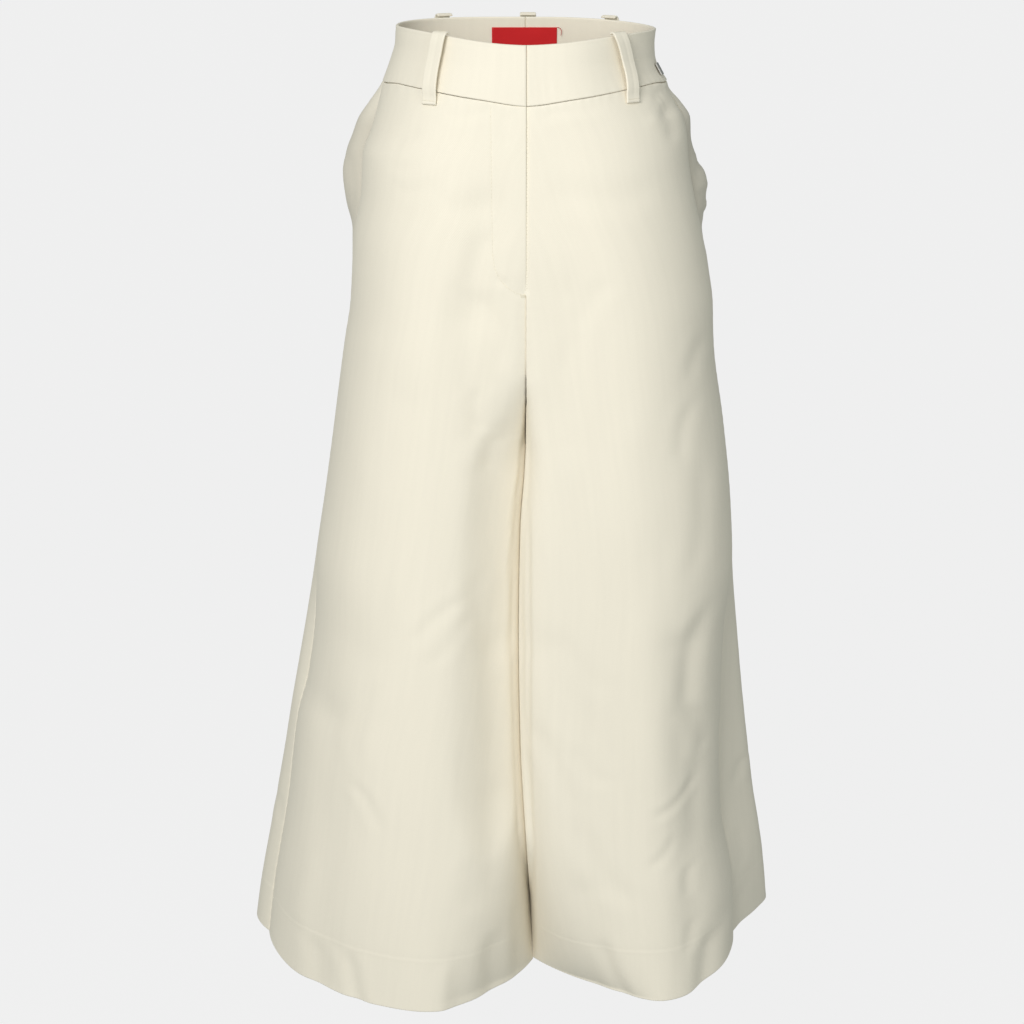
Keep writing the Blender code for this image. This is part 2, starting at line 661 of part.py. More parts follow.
def cloth_wall(name, outer, inner, outward, material):
    """A closed wall lofted between the outer and inner points of a panel."""
    rows, cols = outer.shape[:2]
    count = rows * cols
    across = np.cross(outer[1, 0] - outer[0, 0], outer[0, 1] - outer[0, 0])
    flip = float(across @ outward[0, 0]) > 0
    faces = grid_faces(rows, cols, 0, flip) + grid_faces(rows, cols, count, not flip)
    top = list(range(cols))
    right = [row * cols + cols - 1 for row in range(rows)]
    bottom = [(rows - 1) * cols + col for col in reversed(range(cols))]
    left = [row * cols for row in reversed(range(rows))]
    for border in (top, right, bottom, left):
        for here, there in zip(border[:-1], border[1:]):
            quad = (here, here + count, there + count, there)
            faces.append(quad[::-1] if flip else quad)
    points = np.concatenate((outer.reshape(-1, 3), inner.reshape(-1, 3)))
    return new_piece(name, points, faces, material)


def solid_sheet(name, grid, thickness, material):
    """An open grid of points given an even wall on both of its faces."""
    rows, cols = grid.shape[:2]
    piece = new_piece(name, grid.reshape(-1, 3), grid_faces(rows, cols), material)
    wall = piece.modifiers.new("wall", "SOLIDIFY")
    wall.thickness = thickness
    wall.offset = 0.0
    wall.use_even_offset = True
    return piece


# ---- the panels ----------------------------------------------------------------------------
def make_panels(side):
    """The front and back panel of one half, each a closed cloth wall."""
    levels = row_levels()
    hem = smooth_step((HEM_Z + HEM_DEPTH + HEM_FADE - levels) / HEM_FADE)
    thickness = (WALL + (HEM_WALL - WALL) * hem)[:, None, None]
    for face, (outer, outward) in zip(("front", "back"), half_panels(side)):
        inner = outer - outward * thickness
        if (face, side) == ("front", "right"):
            outer = outer + outward * fly_step(outer)[..., None]
        name = face + "_" + side
        material = cloth_material(name + "_cloth", CREAM)
        cloth_wall(name, kept_on_side(side, outer), kept_on_side(side, inner),
                   outward, material)


def fly_step(points):
    """Extra height of the right front's folded edge, down to the end of the fly."""
    near_centre = smooth_step(1 - np.abs(points[..., 0]) / FLY_EASE)
    above_end = smooth_step((points[..., 2] - FLY_END_Z) / FLY_FADE)
    return FLY_PROUD * near_centre * above_end


def band_grid(side):
    """Outer points of half the waistband, from centre front round to centre back."""
    rows = []
    for drop in np.linspace(0, 1, BAND_ROWS):
        parts = []
        for curve, finish in ((front_curve, 2), (back_curve, 3)):
            part = np.linspace(0, finish, CURVE_STEPS * finish + 1)
            level = np.full_like(part, BAND_SIDE_Z * drop)
            x, y = curve(side, level, part)
            top, foot = rim_z(x, y), waist_seam_z(x, y) + SEAM_GAP / 2
            z = top + (foot - top) * drop
            x, y = curve(side, z, part)
            parts.append(np.stack([x, y, z], axis=1))
        front, back = spaced(parts[0], BAND_COLS), spaced(parts[1], BAND_COLS)
        rows.append(np.concatenate((front[::-1], back[1:])))
    return np.array(rows)


def make_band(side):
    """Half the waistband, standing a little proud of the panels below it."""
    grid = band_grid(side)
    outward = grid_normals(grid, -SIGN[side])
    outward[:, 0, 0] = 0.0
    outward[:, -1, 0] = 0.0
    outward[..., 2] = 0.0
    outward = unit(outward)
    lap = np.where(grid[..., 1] < 0, smooth_step(1 - np.abs(grid[..., 0]) / FLY_EASE), 0.0)
    proud = BAND_PROUD + (FLY_PROUD * lap if side == "right" else 0.0)
    outer = kept_on_side(side, grid + outward * np.expand_dims(proud, -1))
    inner = kept_on_side(side, grid + outward * (BAND_PROUD - BAND_WALL))
    material = cloth_material("waistband_" + side + "_cloth", CREAM)
    cloth_wall("waistband_" + side, outer, inner, outward, material)


# ---- pocket bags ---------------------------------------------------------------------------
def make_pocket(side):
    """A flat pocket bag: lapped behind the back panel's edge, lying behind the front panel."""
    sign = SIGN[side]
    lie = WALL + SEAM_GAP + POCKET_WALL / 2 + POCKET_CLEAR
    reach = np.array(POCKET_REACHES)
    levels = row_levels()
    levels = np.append(levels[levels > POCKET_END_Z + 8 * MM], POCKET_END_Z)
    levels[0] -= SEAM_GAP * 3
    rows = []
    for level in levels:
        front = section_line(front_curve, side, level, 0, 2)
        back = section_line(back_curve, side, level, 0, 2)
        tuck = smooth_step((POCKET_END_Z + POCKET_TUCK - level) / POCKET_TUCK)
        line = at_distance(front, reach * POCKET_REACH * (1 - POCKET_NARROW * tuck))
        tangent = np.abs(np.gradient(line, axis=0))
        flat = np.zeros(len(line))
        inward = unit(np.stack([-sign * tangent[:, 1], tangent[:, 0], flat], axis=1))
        bulge = POCKET_SLACK + (1 - POCKET_SLACK) * mouth(level)
        bulge = bulge * np.cos(math.pi / 2 * reach)
        room = lie + (POCKET_ROOM - lie) * bulge + fold_depth("front_" + side, line[None])[0]
        line = line + inward * room[:, None]
        edge_run = unit(at_distance(back, np.array([POCKET_LAP]))[0] - back[0])
        edge_in = sign * np.array([-edge_run[1], edge_run[0], 0.0])
        seam = back[0] + edge_in * lie
        past = seam - edge_run * POCKET_LAP / 2
        lap = at_distance(back, np.array([POCKET_LAP]))[0] + edge_in * (lie + POCKET_CLEAR)
        rows.append(np.concatenate((lap[None], seam[None], past[None], line)))
    material = cloth_material("pocket_" + side + "_cloth", INNER_CREAM)
    solid_sheet("pocket_" + side, np.array(rows), POCKET_WALL, material)


# ---- fly -----------------------------------------------------------------------------------
def front_depth(x, z):
    """Y of the front's outer surface at points near the centre front."""
    depth = np.empty_like(x)
    part = np.linspace(2, 0.6, 80)
    for index, (x_here, z_here) in enumerate(zip(x, z)):
        side = "right" if x_here < 0 else "left"
        line_x, line_y = front_curve(side, np.full_like(part, z_here), part)
        depth[index] = np.interp(abs(x_here), np.abs(line_x), line_y)
    return depth


def fly_strip(name, half_width, top_z, end_z, depth, thickness, material):
    """A plain strip hanging behind the fly, at one depth behind the fronts' outer face."""
    across = np.linspace(-half_width, half_width, 5)
    rows = []
    for z in np.linspace(top_z, end_z, 7):
        heights = np.full_like(across, z)
        rows.append(np.stack([across, front_depth(across, heights) + depth, heights], axis=1))
    return solid_sheet(name, np.array(rows), thickness, material)


def make_fly():
    """Zip tape behind the lapped fronts, and the fly shield behind the zip."""
    top_z = BAND_SIDE_Z - SEAM_DIP - FLY_TOP_DROP
    zip_depth = WALL + 2.2 * SEAM_GAP + ZIP_WALL / 2
    shield_depth = zip_depth + ZIP_WALL / 2 + SEAM_GAP + SHIELD_WALL / 2
    fly_strip("zip", ZIP_HALF_WIDTH, top_z, FLY_END_Z - ZIP_PAST, zip_depth, ZIP_WALL,
              cloth_material("zip_tape", INNER_CREAM))
    fly_strip("fly_shield", SHIELD_HALF_WIDTH, top_z, FLY_END_Z - SHIELD_PAST, shield_depth,
              SHIELD_WALL, cloth_material("fly_shield_cloth", INNER_CREAM))


# ---- belt loops ----------------------------------------------------------------------------
def surface_frame(face, x, z):
    """A point of the outer surface above or below x, and its outward direction in plan."""
    side = "right" if x < 0 else "left"
    curve, last = (front_curve, 2) if face == "front" else (back_curve, 3)
    part = np.linspace(1 if face == "back" else 0, last, 400)
    line_x, line_y = curve(side, np.full_like(part, z), part)
    here = int(np.argmin(np.abs(line_x - x)))
    before, after = max(here - 4, 0), min(here + 4, len(part) - 1)
    run = np.array([line_x[after] - line_x[before], line_y[after] - line_y[before], 0.0])
    outward = unit(np.array([-run[1], run[0], 0.0]))
    if outward[1] * (1 if face == "back" else -1) < 0:
        outward = -outward
    return np.array([line_x[here], line_y[here], z]), outward


def loop_profile(room):
    """Distance out from the cloth and height, from the rim's top over and down to the foot.

    Heights above 1 lie over the rim and heights below 0 under the waist seam, in millimetres
    past it.  Between them they are fractions of the waistband's height.
    """
    out = room + 1.0
    over = [(-1.6, 1.3), (-1.4, 2.2), (0.2, 3.2), (2.4, 3.3), (out - 1.4, 1.9), (out - 0.2, -0.8)]
    along = [(out, 0.9), (out, 0.7), (out, 0.5), (out - 0.1, 0.3), (out - 0.5, 0.12)]
    under = [(out - 1.4, 0.0), (3.0, -3.0), (2.2, -5.5), (1.9, -8.2), (1.9, -11.0)]
    return over, along, under


def make_loop(name, face, top_x, foot_x, room):
    """A folded cloth strap from the rim, over the waistband, to just below the waist seam."""
    over, along, under = loop_profile(room)
    side_y = 1.0 if face == "back" else -1.0
    top_point, top_out = surface_frame(face, top_x * MM, -3 * MM)
    rim = float(rim_z(top_x * MM, side_y))
    seam = float(waist_seam_z(foot_x * MM, side_y))
    path = []
    for out, height in over:
        point = top_point + top_out * (out * MM)
        path.append((point[0], point[1], rim + height * MM, top_out))
    for out, share in along:
        z = seam + (rim - seam) * share
        x = foot_x * MM + (top_x - foot_x) * MM * share
        point, outward = surface_frame(face, x, z)
        point = point + outward * (out * MM + BAND_PROUD)
        path.append((point[0], point[1], z, outward))
    for out, below in under:
        z = seam + below * MM
        x = foot_x * MM + (top_x - foot_x) * MM * below / 60
        point, outward = surface_frame(face, x, z)
        point = point + outward * (out * MM)
        path.append((point[0], point[1], z, outward))
    rows = []
    for x, y, z, outward in path:
        across = np.array([-outward[1], outward[0], 0.0]) * LOOP_WIDTH / 2
        middle = np.array([x, y, z])
        rows.append([middle - across, middle, middle + across])
    solid_sheet(name, np.array(rows), LOOP_WALL, cloth_material(name + "_cloth", CREAM))


# ---- label and plate -----------------------------------------------------------------------
def make_label():
    """A bare woven label on the inner face of the waistband at centre back."""
    depth = BAND_WALL - BAND_PROUD + SEAM_GAP + LABEL_WALL / 2 + 0.15 * MM
    across = np.linspace(LABEL_X - LABEL_WIDTH / 2, LABEL_X + LABEL_WIDTH / 2, 9)
    rows = []
    for z in np.linspace(LABEL_TOP_Z, LABEL_TOP_Z - LABEL_HEIGHT, 4):
        row = []
        for x in across:
            point, outward = surface_frame("back", x, z)
            row.append(point - outward * depth)
        rows.append(row)
    solid_sheet("label", np.array(rows), LABEL_WALL, cloth_material("label_cloth", LABEL_RED))


def make_plate():
    """A small bare metal plate on the waistband at the wearer's left side."""
    part = np.array(PLATE_PARTS)
    x, y = front_curve("left", np.full_like(part, PLATE_Z), part)
    above_x, _ = front_curve("left", np.full_like(part, PLATE_Z + PLATE_LONG / 2), part)
    below_x, _ = front_curve("left", np.full_like(part, PLATE_Z - PLATE_LONG / 2), part)
    turn = math.atan2(y[2] - y[0], x[2] - x[0]) + math.pi / 2
    lean = math.atan2(below_x[1] - above_x[1], PLATE_LONG)
    stand = BAND_PROUD + SEAM_GAP + PLATE_THICK / 2 + PLATE_CLEAR
    outward = np.array([math.cos(turn) * math.cos(lean), math.sin(turn) * math.cos(lean),
                        math.sin(lean)])
    bpy.ops.mesh.primitive_cube_add(size=1.0)
    plate = bpy.context.object
    plate.name = "side_plate"
    plate.scale = (PLATE_THICK, PLATE_WIDE, PLATE_LONG)
    bpy.ops.object.transform_apply(location=False, rotation=False, scale=True)
    plate.rotation_euler = (0.0, -lean, turn)
    plate.location = np.array([x[1], y[1], PLATE_Z]) + outward * stand
    rounding = plate.modifiers.new("rounding", "BEVEL")
    rounding.width = PLATE_ROUNDING
    rounding.segments = 2
    plate.data.materials.append(cloth_material("plate_metal", STEEL, 0.3, 1.0))
    for collection in list(plate.users_collection):
        collection.objects.unlink(plate)
    garment.objects.link(plate)
    plate.parent = waist_empty


# ---- build ---------------------------------------------------------------------------------
for old in list(bpy.data.objects):
    bpy.data.objects.remove(old, do_unlink=True)

garment = bpy.data.collections.new("capri_pants")
bpy.context.scene.collection.children.link(garment)
waist_empty = bpy.data.objects.new("waist", None)
garment.objects.link(waist_empty)

for half in ("right", "left"):
    make_panels(half)
    make_band(half)
    make_pocket(half)
make_fly()
for loop_row in LOOPS:
    make_loop(*loop_row)
make_label()
make_plate()
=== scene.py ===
"""Wide-leg capri pants in heavy cream cotton, standing open as they do when worn.

Metres, +X to the wearer's left, +Y to the back, +Z up, with the origin in the middle of the
waist opening.  Every cloth surface is a grid of points: rows run down the garment, columns
round it.  Tables are in millimetres.
"""
import math

import bpy
import numpy as np
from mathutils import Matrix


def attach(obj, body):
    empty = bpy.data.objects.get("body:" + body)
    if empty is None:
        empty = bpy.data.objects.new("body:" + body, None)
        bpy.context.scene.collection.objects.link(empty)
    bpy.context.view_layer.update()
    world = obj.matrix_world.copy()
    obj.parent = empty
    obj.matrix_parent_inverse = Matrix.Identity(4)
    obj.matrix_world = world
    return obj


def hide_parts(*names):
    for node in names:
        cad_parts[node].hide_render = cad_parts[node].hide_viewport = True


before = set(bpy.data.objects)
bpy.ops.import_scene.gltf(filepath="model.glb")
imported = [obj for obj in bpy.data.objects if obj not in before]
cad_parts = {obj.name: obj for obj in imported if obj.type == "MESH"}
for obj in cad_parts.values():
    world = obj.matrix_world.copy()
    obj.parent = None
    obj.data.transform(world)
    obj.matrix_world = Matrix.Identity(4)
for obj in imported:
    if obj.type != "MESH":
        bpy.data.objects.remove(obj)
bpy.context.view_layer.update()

# ---- Front and back panels -----------------------------------------------------------------
# Four panels of heavy cream cotton twill, each with its half leg, cut in one piece from the
# waist seam to a hem turned up 5 cm.  Plain seams, pressed open, join them at the sides, the
# inseams and the centre back; at centre front the right panel is folded under and laps over.
MM = 0.001
SIGN = {"right": -1.0, "left": 1.0}
WALL = 1.3 * MM              # one layer
HEM_WALL = 2.6 * MM          # two layers at the turned-up hem
ALLOWANCE = 0.45 * MM        # the pressed-open seam edges make the inside this much thicker
ALLOWANCE_WIDTH = 11 * MM
SEAM_GAP = 0.3 * MM
LEG_GAP = 0.08 * MM          # space between the two halves, and between the two legs
BAND_SIDE_Z = -50.5 * MM     # waist seam at the sides and the back
SEAM_DIP = 11.2 * MM         # how far it dips at centre front
SEAM_HALF_WIDTH = 130 * MM
SEAM_RISE = 2.8 * MM         # how far it rises again on both sides of its dip
SEAM_RISE_X = 42 * MM
SEAM_RISE_FADE = 14 * MM
CROTCH_Z = -372 * MM
FRONT_CURVE_Z = -300 * MM
BACK_CURVE_Z = -268 * MM
HEM_Z = -905 * MM
HEM_DEPTH = 50 * MM
HEM_SHIFT = {                # how the hem leaves the level, for each leg, by distance from X = 0
    "right": {"front_drop": 10 * MM, "lift": 12 * MM, "from_x": 225 * MM, "over": 50 * MM},
    "left": {"front_drop": 3 * MM, "lift": 17 * MM, "from_x": 150 * MM, "over": 75 * MM},
}
HEM_FRONT_REACH = 128 * MM
WAIST_WARP = 120 * MM
HEM_WARP_Z = -600 * MM
EDGE_BOW = {"right": 1.5, "left": 1.0}
EDGE_BOW_Z = -500 * MM
EDGE_BOW_OVER = 150 * MM
MOUTH_TOP_Z = -54 * MM
MOUTH_END_Z = -190 * MM
MOUTH_GAPE = 11 * MM
MOUTH_BOW = 0.5
MOUTH_PARTING = 0.3
FLY_END_Z = -228 * MM
FLY_PROUD = 1.2 * MM         # the right front's folded edge over the left front
FLY_EASE = 42 * MM
FLY_FADE = 25 * MM
UNDERLAP = 2.5 * MM          # how far the left front reaches under that edge
UNDERLAP_DIP = 1.3 * MM
CROTCH_EASE = 13 * MM        # how softly the legs part below the fly
VALLEY_FLOOR = {"right": 78 * MM, "left": 90 * MM}    # the legs lean together up to there
VALLEY_SOFT = 7 * MM
VALLEY_REACH = 50 * MM
VALLEY_OVER = 26 * MM
VALLEY_FADE = 160 * MM
VALLEY_TURN = 4 * MM         # the right leg's front slopes back from here to the left leg
VALLEY_SLOPE = 0.68
VALLEY_START_Z = -275 * MM
VALLEY_ONSET = 120 * MM
VALLEY_END_Z = -860 * MM
VALLEY_PLANE_FADE = 20 * MM
VALLEY_BEND = 5 * MM         # roundness of the line along which the right leg turns back
VALLEY_OUT = 32 * MM         # beyond this from that line nothing turns back
VALLEY_DEPTH_FADE = 60 * MM

# seam: side seam.  crown: front-most point.  bow: 1 is a straight line, 2 a quarter ellipse.
FRONT_COLUMNS = ("z", "seam_x", "seam_y", "crown_x", "crown_y", "bow")
FRONT_SECTIONS = {
    "right": [
        (0, 117.5, 0, 30, -86, 1.6),
        (-16, 118.3, 0, 30, -89, 1.6),
        (-26, 121, 0, 30, -91, 1.6),
        (-37, 125, 0, 31, -93.5, 1.65),
        (-50, 130, 0, 32, -96.5, 1.7),
        (-70, 134.5, -5, 35, -100, 1.8),
        (-92, 141, -9, 39, -103, 1.85),
        (-114, 149, -9, 43, -106, 1.9),
        (-148, 151, -9, 50, -109, 1.9),
        (-190, 158.5, -2, 60, -112, 1.9),
        (-215, 160.5, 0, 66, -113, 1.9),
        (-253, 163, 0, 74, -114, 1.9),
        (-290, 169, 0, 80, -115, 1.9),
        (-368, 180, 0, 86, -117, 1.9),
        (-446, 191.5, 0, 88, -119, 1.9),
        (-500, 199, 1, 90, -121, 1.9),
        (-560, 202, 2, 91, -123, 1.85),
        (-618, 210, 3, 91, -125, 1.85),
        (-660, 221, 4, 91, -126, 1.85),
        (-750, 233, 6, 90, -129, 1.8),
        (-838, 248.5, 9, 88, -132, 1.7),
        (-905, 257, 11.5, 87, -133, 1.62),
    ],
    "left": [
        (0, 118, 0, 30, -86, 1.6),
        (-16, 116.2, 0, 30, -89, 1.6),
        (-26, 116.6, 0, 30, -91, 1.6),
        (-37, 119.6, 0, 31, -93.5, 1.65),
        (-50, 128, 0, 32, -96.5, 1.7),
        (-57, 130, -1, 33, -98, 1.75),
        (-67, 135.5, -4, 35, -100, 1.8),
        (-80, 143, -7, 37, -101.5, 1.85),
        (-96, 146.5, -8, 40, -103.5, 1.9),
        (-120, 148.5, -9, 44, -106.5, 1.95),
        (-149, 153.5, -9, 50, -109, 1.95),
        (-190, 163, -2, 60, -112, 1.95),
        (-215, 168, 0, 66, -113, 1.95),
        (-253, 174, 0, 74, -114, 1.95),
        (-290, 175.5, 0, 80, -115, 1.95),
        (-368, 186.5, 0, 86, -117, 1.9),
        (-446, 195, 0, 89, -119, 1.9),
        (-500, 197.5, -1, 92, -120, 1.9),
        (-565, 191.5, -2, 98, -121, 1.9),
        (-664, 188.7, -4, 105, -122, 1.85),
        (-750, 191.5, -5, 112, -123, 1.8),
        (-834, 205, -7, 119, -124, 1.8),
        (-905, 207, -9, 125, -124, 1.8),
    ],
}
# edge: the outermost fold of the back panel.  seat: its rearmost point.
BACK_COLUMNS = ("z", "edge_x", "edge_y", "seat_x", "seat_y", "bow")
BACK_SECTIONS = {
    "right": [
        (0, 118, 7, 30, 88, 2.2),
        (-16, 118.8, 7, 30, 91, 2.2),
        (-26, 121.6, 7, 30, 93, 2.2),
        (-37, 125.4, 7, 31, 95, 2.2),
        (-50, 130.5, 7, 32, 98, 2.1),
        (-70, 144, 12, 38, 103, 2.1),
        (-86, 154.9, 17, 43, 107, 2.1),
        (-103, 161.5, 22, 49, 111, 2.1),
        (-119, 168, 26, 54, 115, 2.1),
        (-136, 170.7, 28, 58, 118, 2.1),
        (-163, 168, 28, 65, 123, 2.1),
        (-190, 161.7, 24, 71, 127, 2.1),
        (-215, 161.6, 20, 75, 129, 2.1),
        (-253, 163.5, 18, 79, 130, 2.1),
        (-290, 169.8, 18, 80, 128, 2.1),
        (-368, 181, 18, 84, 122, 2.0),
        (-446, 192.4, 18, 89, 119, 2.0),
        (-500, 201.5, 20, 93, 118, 2.0),
        (-571, 214.3, 24, 98, 119, 1.95),
        (-659, 230.1, 31, 105, 121, 1.9),
        (-749, 246.8, 38, 113, 124, 1.85),
        (-841, 264.8, 45, 120, 127, 1.8),
        (-905, 274.7, 51, 124, 129, 1.8),
    ],
    "left": [
        (0, 118.5, 7, 30, 88, 1.8),
        (-16, 116.5, 7, 30, 91, 1.8),
        (-26, 117.1, 7, 30, 93, 1.8),
        (-37, 120, 7, 31, 95, 1.9),
        (-50, 128.5, 7, 32, 98, 2.0),
        (-57, 131, 8, 34, 99.5, 2.0),
        (-70, 142, 12, 38, 103, 2.1),
        (-86, 151.8, 17, 43, 107, 2.1),
        (-103, 152.7, 22, 49, 111, 2.1),
        (-119, 157.1, 26, 54, 115, 2.1),
        (-136, 166.2, 28, 58, 118, 2.1),
        (-150, 170.1, 28, 62, 121, 2.1),
        (-163, 170.3, 28, 65, 123, 2.1),
        (-178, 167, 26, 68, 125, 2.1),
        (-190, 164.6, 24, 71, 127, 2.1),
        (-215, 169.5, 20, 75, 129, 2.1),
        (-253, 174.5, 18, 79, 130, 2.1),
        (-290, 176, 18, 80, 128, 2.1),
        (-368, 187.2, 18, 84, 122, 2.0),
        (-446, 195.6, 18, 89, 119, 2.0),
        (-500, 199.5, 22, 93, 118, 2.0),
        (-571, 207.5, 32, 98, 119, 1.95),
        (-659, 217.9, 45, 104, 121, 1.9),
        (-749, 230.6, 57, 110, 124, 1.85),
        (-841, 245.7, 70, 118, 128, 1.8),
        (-905, 252.5, 79, 124, 131, 1.8),
    ],
}
# how square a section turns from its crown or seat to the centre, where the legs press together
INNER_COLUMNS = ("z", "bow_front", "bow_back")
INNER_BOWS = {
    "right": [
        (0, 1.0, 1.0),
        (-120, 1.0, 1.05),
        (-190, 1.0, 1.2),
        (-215, 1.1, 1.3),
        (-253, 1.4, 1.5),
        (-290, 1.8, 1.9),
        (-310, 2.0, 2.2),
        (-330, 2.5, 2.7),
        (-350, 3.5, 3.5),
        (-372, 4.7, 4.6),
        (-400, 4.5, 4.8),
        (-446, 3.9, 4.6),
        (-500, 3.5, 4.3),
        (-560, 3.2, 3.9),
        (-618, 3.0, 3.4),
        (-660, 3.0, 3.0),
        (-750, 2.7, 2.3),
        (-838, 1.9, 1.8),
        (-905, 1.3, 1.3),
    ],
    "left": [
        (0, 1.0, 1.0),
        (-120, 1.0, 1.05),
        (-190, 1.0, 1.2),
        (-215, 1.1, 1.3),
        (-253, 1.5, 1.5),
        (-290, 2.2, 2.0),
        (-310, 2.7, 2.4),
        (-330, 3.6, 3.0),
        (-350, 5.2, 3.8),
        (-372, 7.4, 4.8),
        (-400, 7.0, 4.9),
        (-446, 6.6, 4.8),
        (-500, 6.2, 4.5),
        (-560, 5.8, 4.0),
        (-664, 5.0, 3.2),
        (-750, 4.0, 2.5),
        (-834, 2.4, 1.8),
        (-905, 1.2, 1.3),
    ],
}
# centre front and centre back lines, down to where the crotch curves begin
CENTRE_COLUMNS = ("z", "front_y", "back_y")
CENTRE_LINE = [
    (0, -88.5, 88.5),
    (-50, -98, 98),
    (-100, -104.5, 111),
    (-150, -109, 121),
    (-200, -111.5, 125.5),
    (-268, -111.5, 124),
    (-300, -110, 121),
]
# where the two legs touch, which is also where the inseams run
INSEAM_COLUMNS = ("z", "x", "y")
INSEAM_LINE = [
    (-372, 0, 0),
    (-400, -1.5, -8),
    (-450, -5, -18),
    (-550, -6.5, -28),
    (-650, -5, -32),
    (-790, 2.5, -32),
    (-905, 8, -30),
]
# broad troughs of each panel from one point to another: x0, z0, x1, z1, width, depth
FOLDS = {
    "front_right": [
        (-36, -150, -50, -245, 20, 2.2),
        (-50, -245, -42, -350, 22, 2.6),
        (-110, -330, -150, -560, 26, 1.6),
        (-36, -350, -26, -560, 17, 1.4),
        (-26, -560, -32, -800, 17, 1.6),
        (-185, -640, -195, -905, 20, 2.5),
    ],
    "front_left": [
        (130, -75, 132, -89, 8, 2.2),
        (146, -560, 166, -905, 18, 3.5),
        (22, -560, 128, -760, 22, 2.4),
        (40, -230, 34, -360, 20, 1.6),
        (60, -800, 72, -905, 18, 2.0),
    ],
    "back_right": [
        (-40, -300, -120, -380, 18, 3.0),
        (-150, -420, -175, -640, 22, 2.4),
        (-70, -560, -60, -880, 24, 3.0),
        (-190, -700, -205, -905, 20, 3.0),
    ],
    "back_left": [
        (36, -310, 110, -395, 18, 2.6),
        (148, -440, 160, -700, 22, 2.6),
        (74, -600, 78, -905, 24, 3.2),
        (186, -740, 196, -905, 20, 2.6),
    ],
}

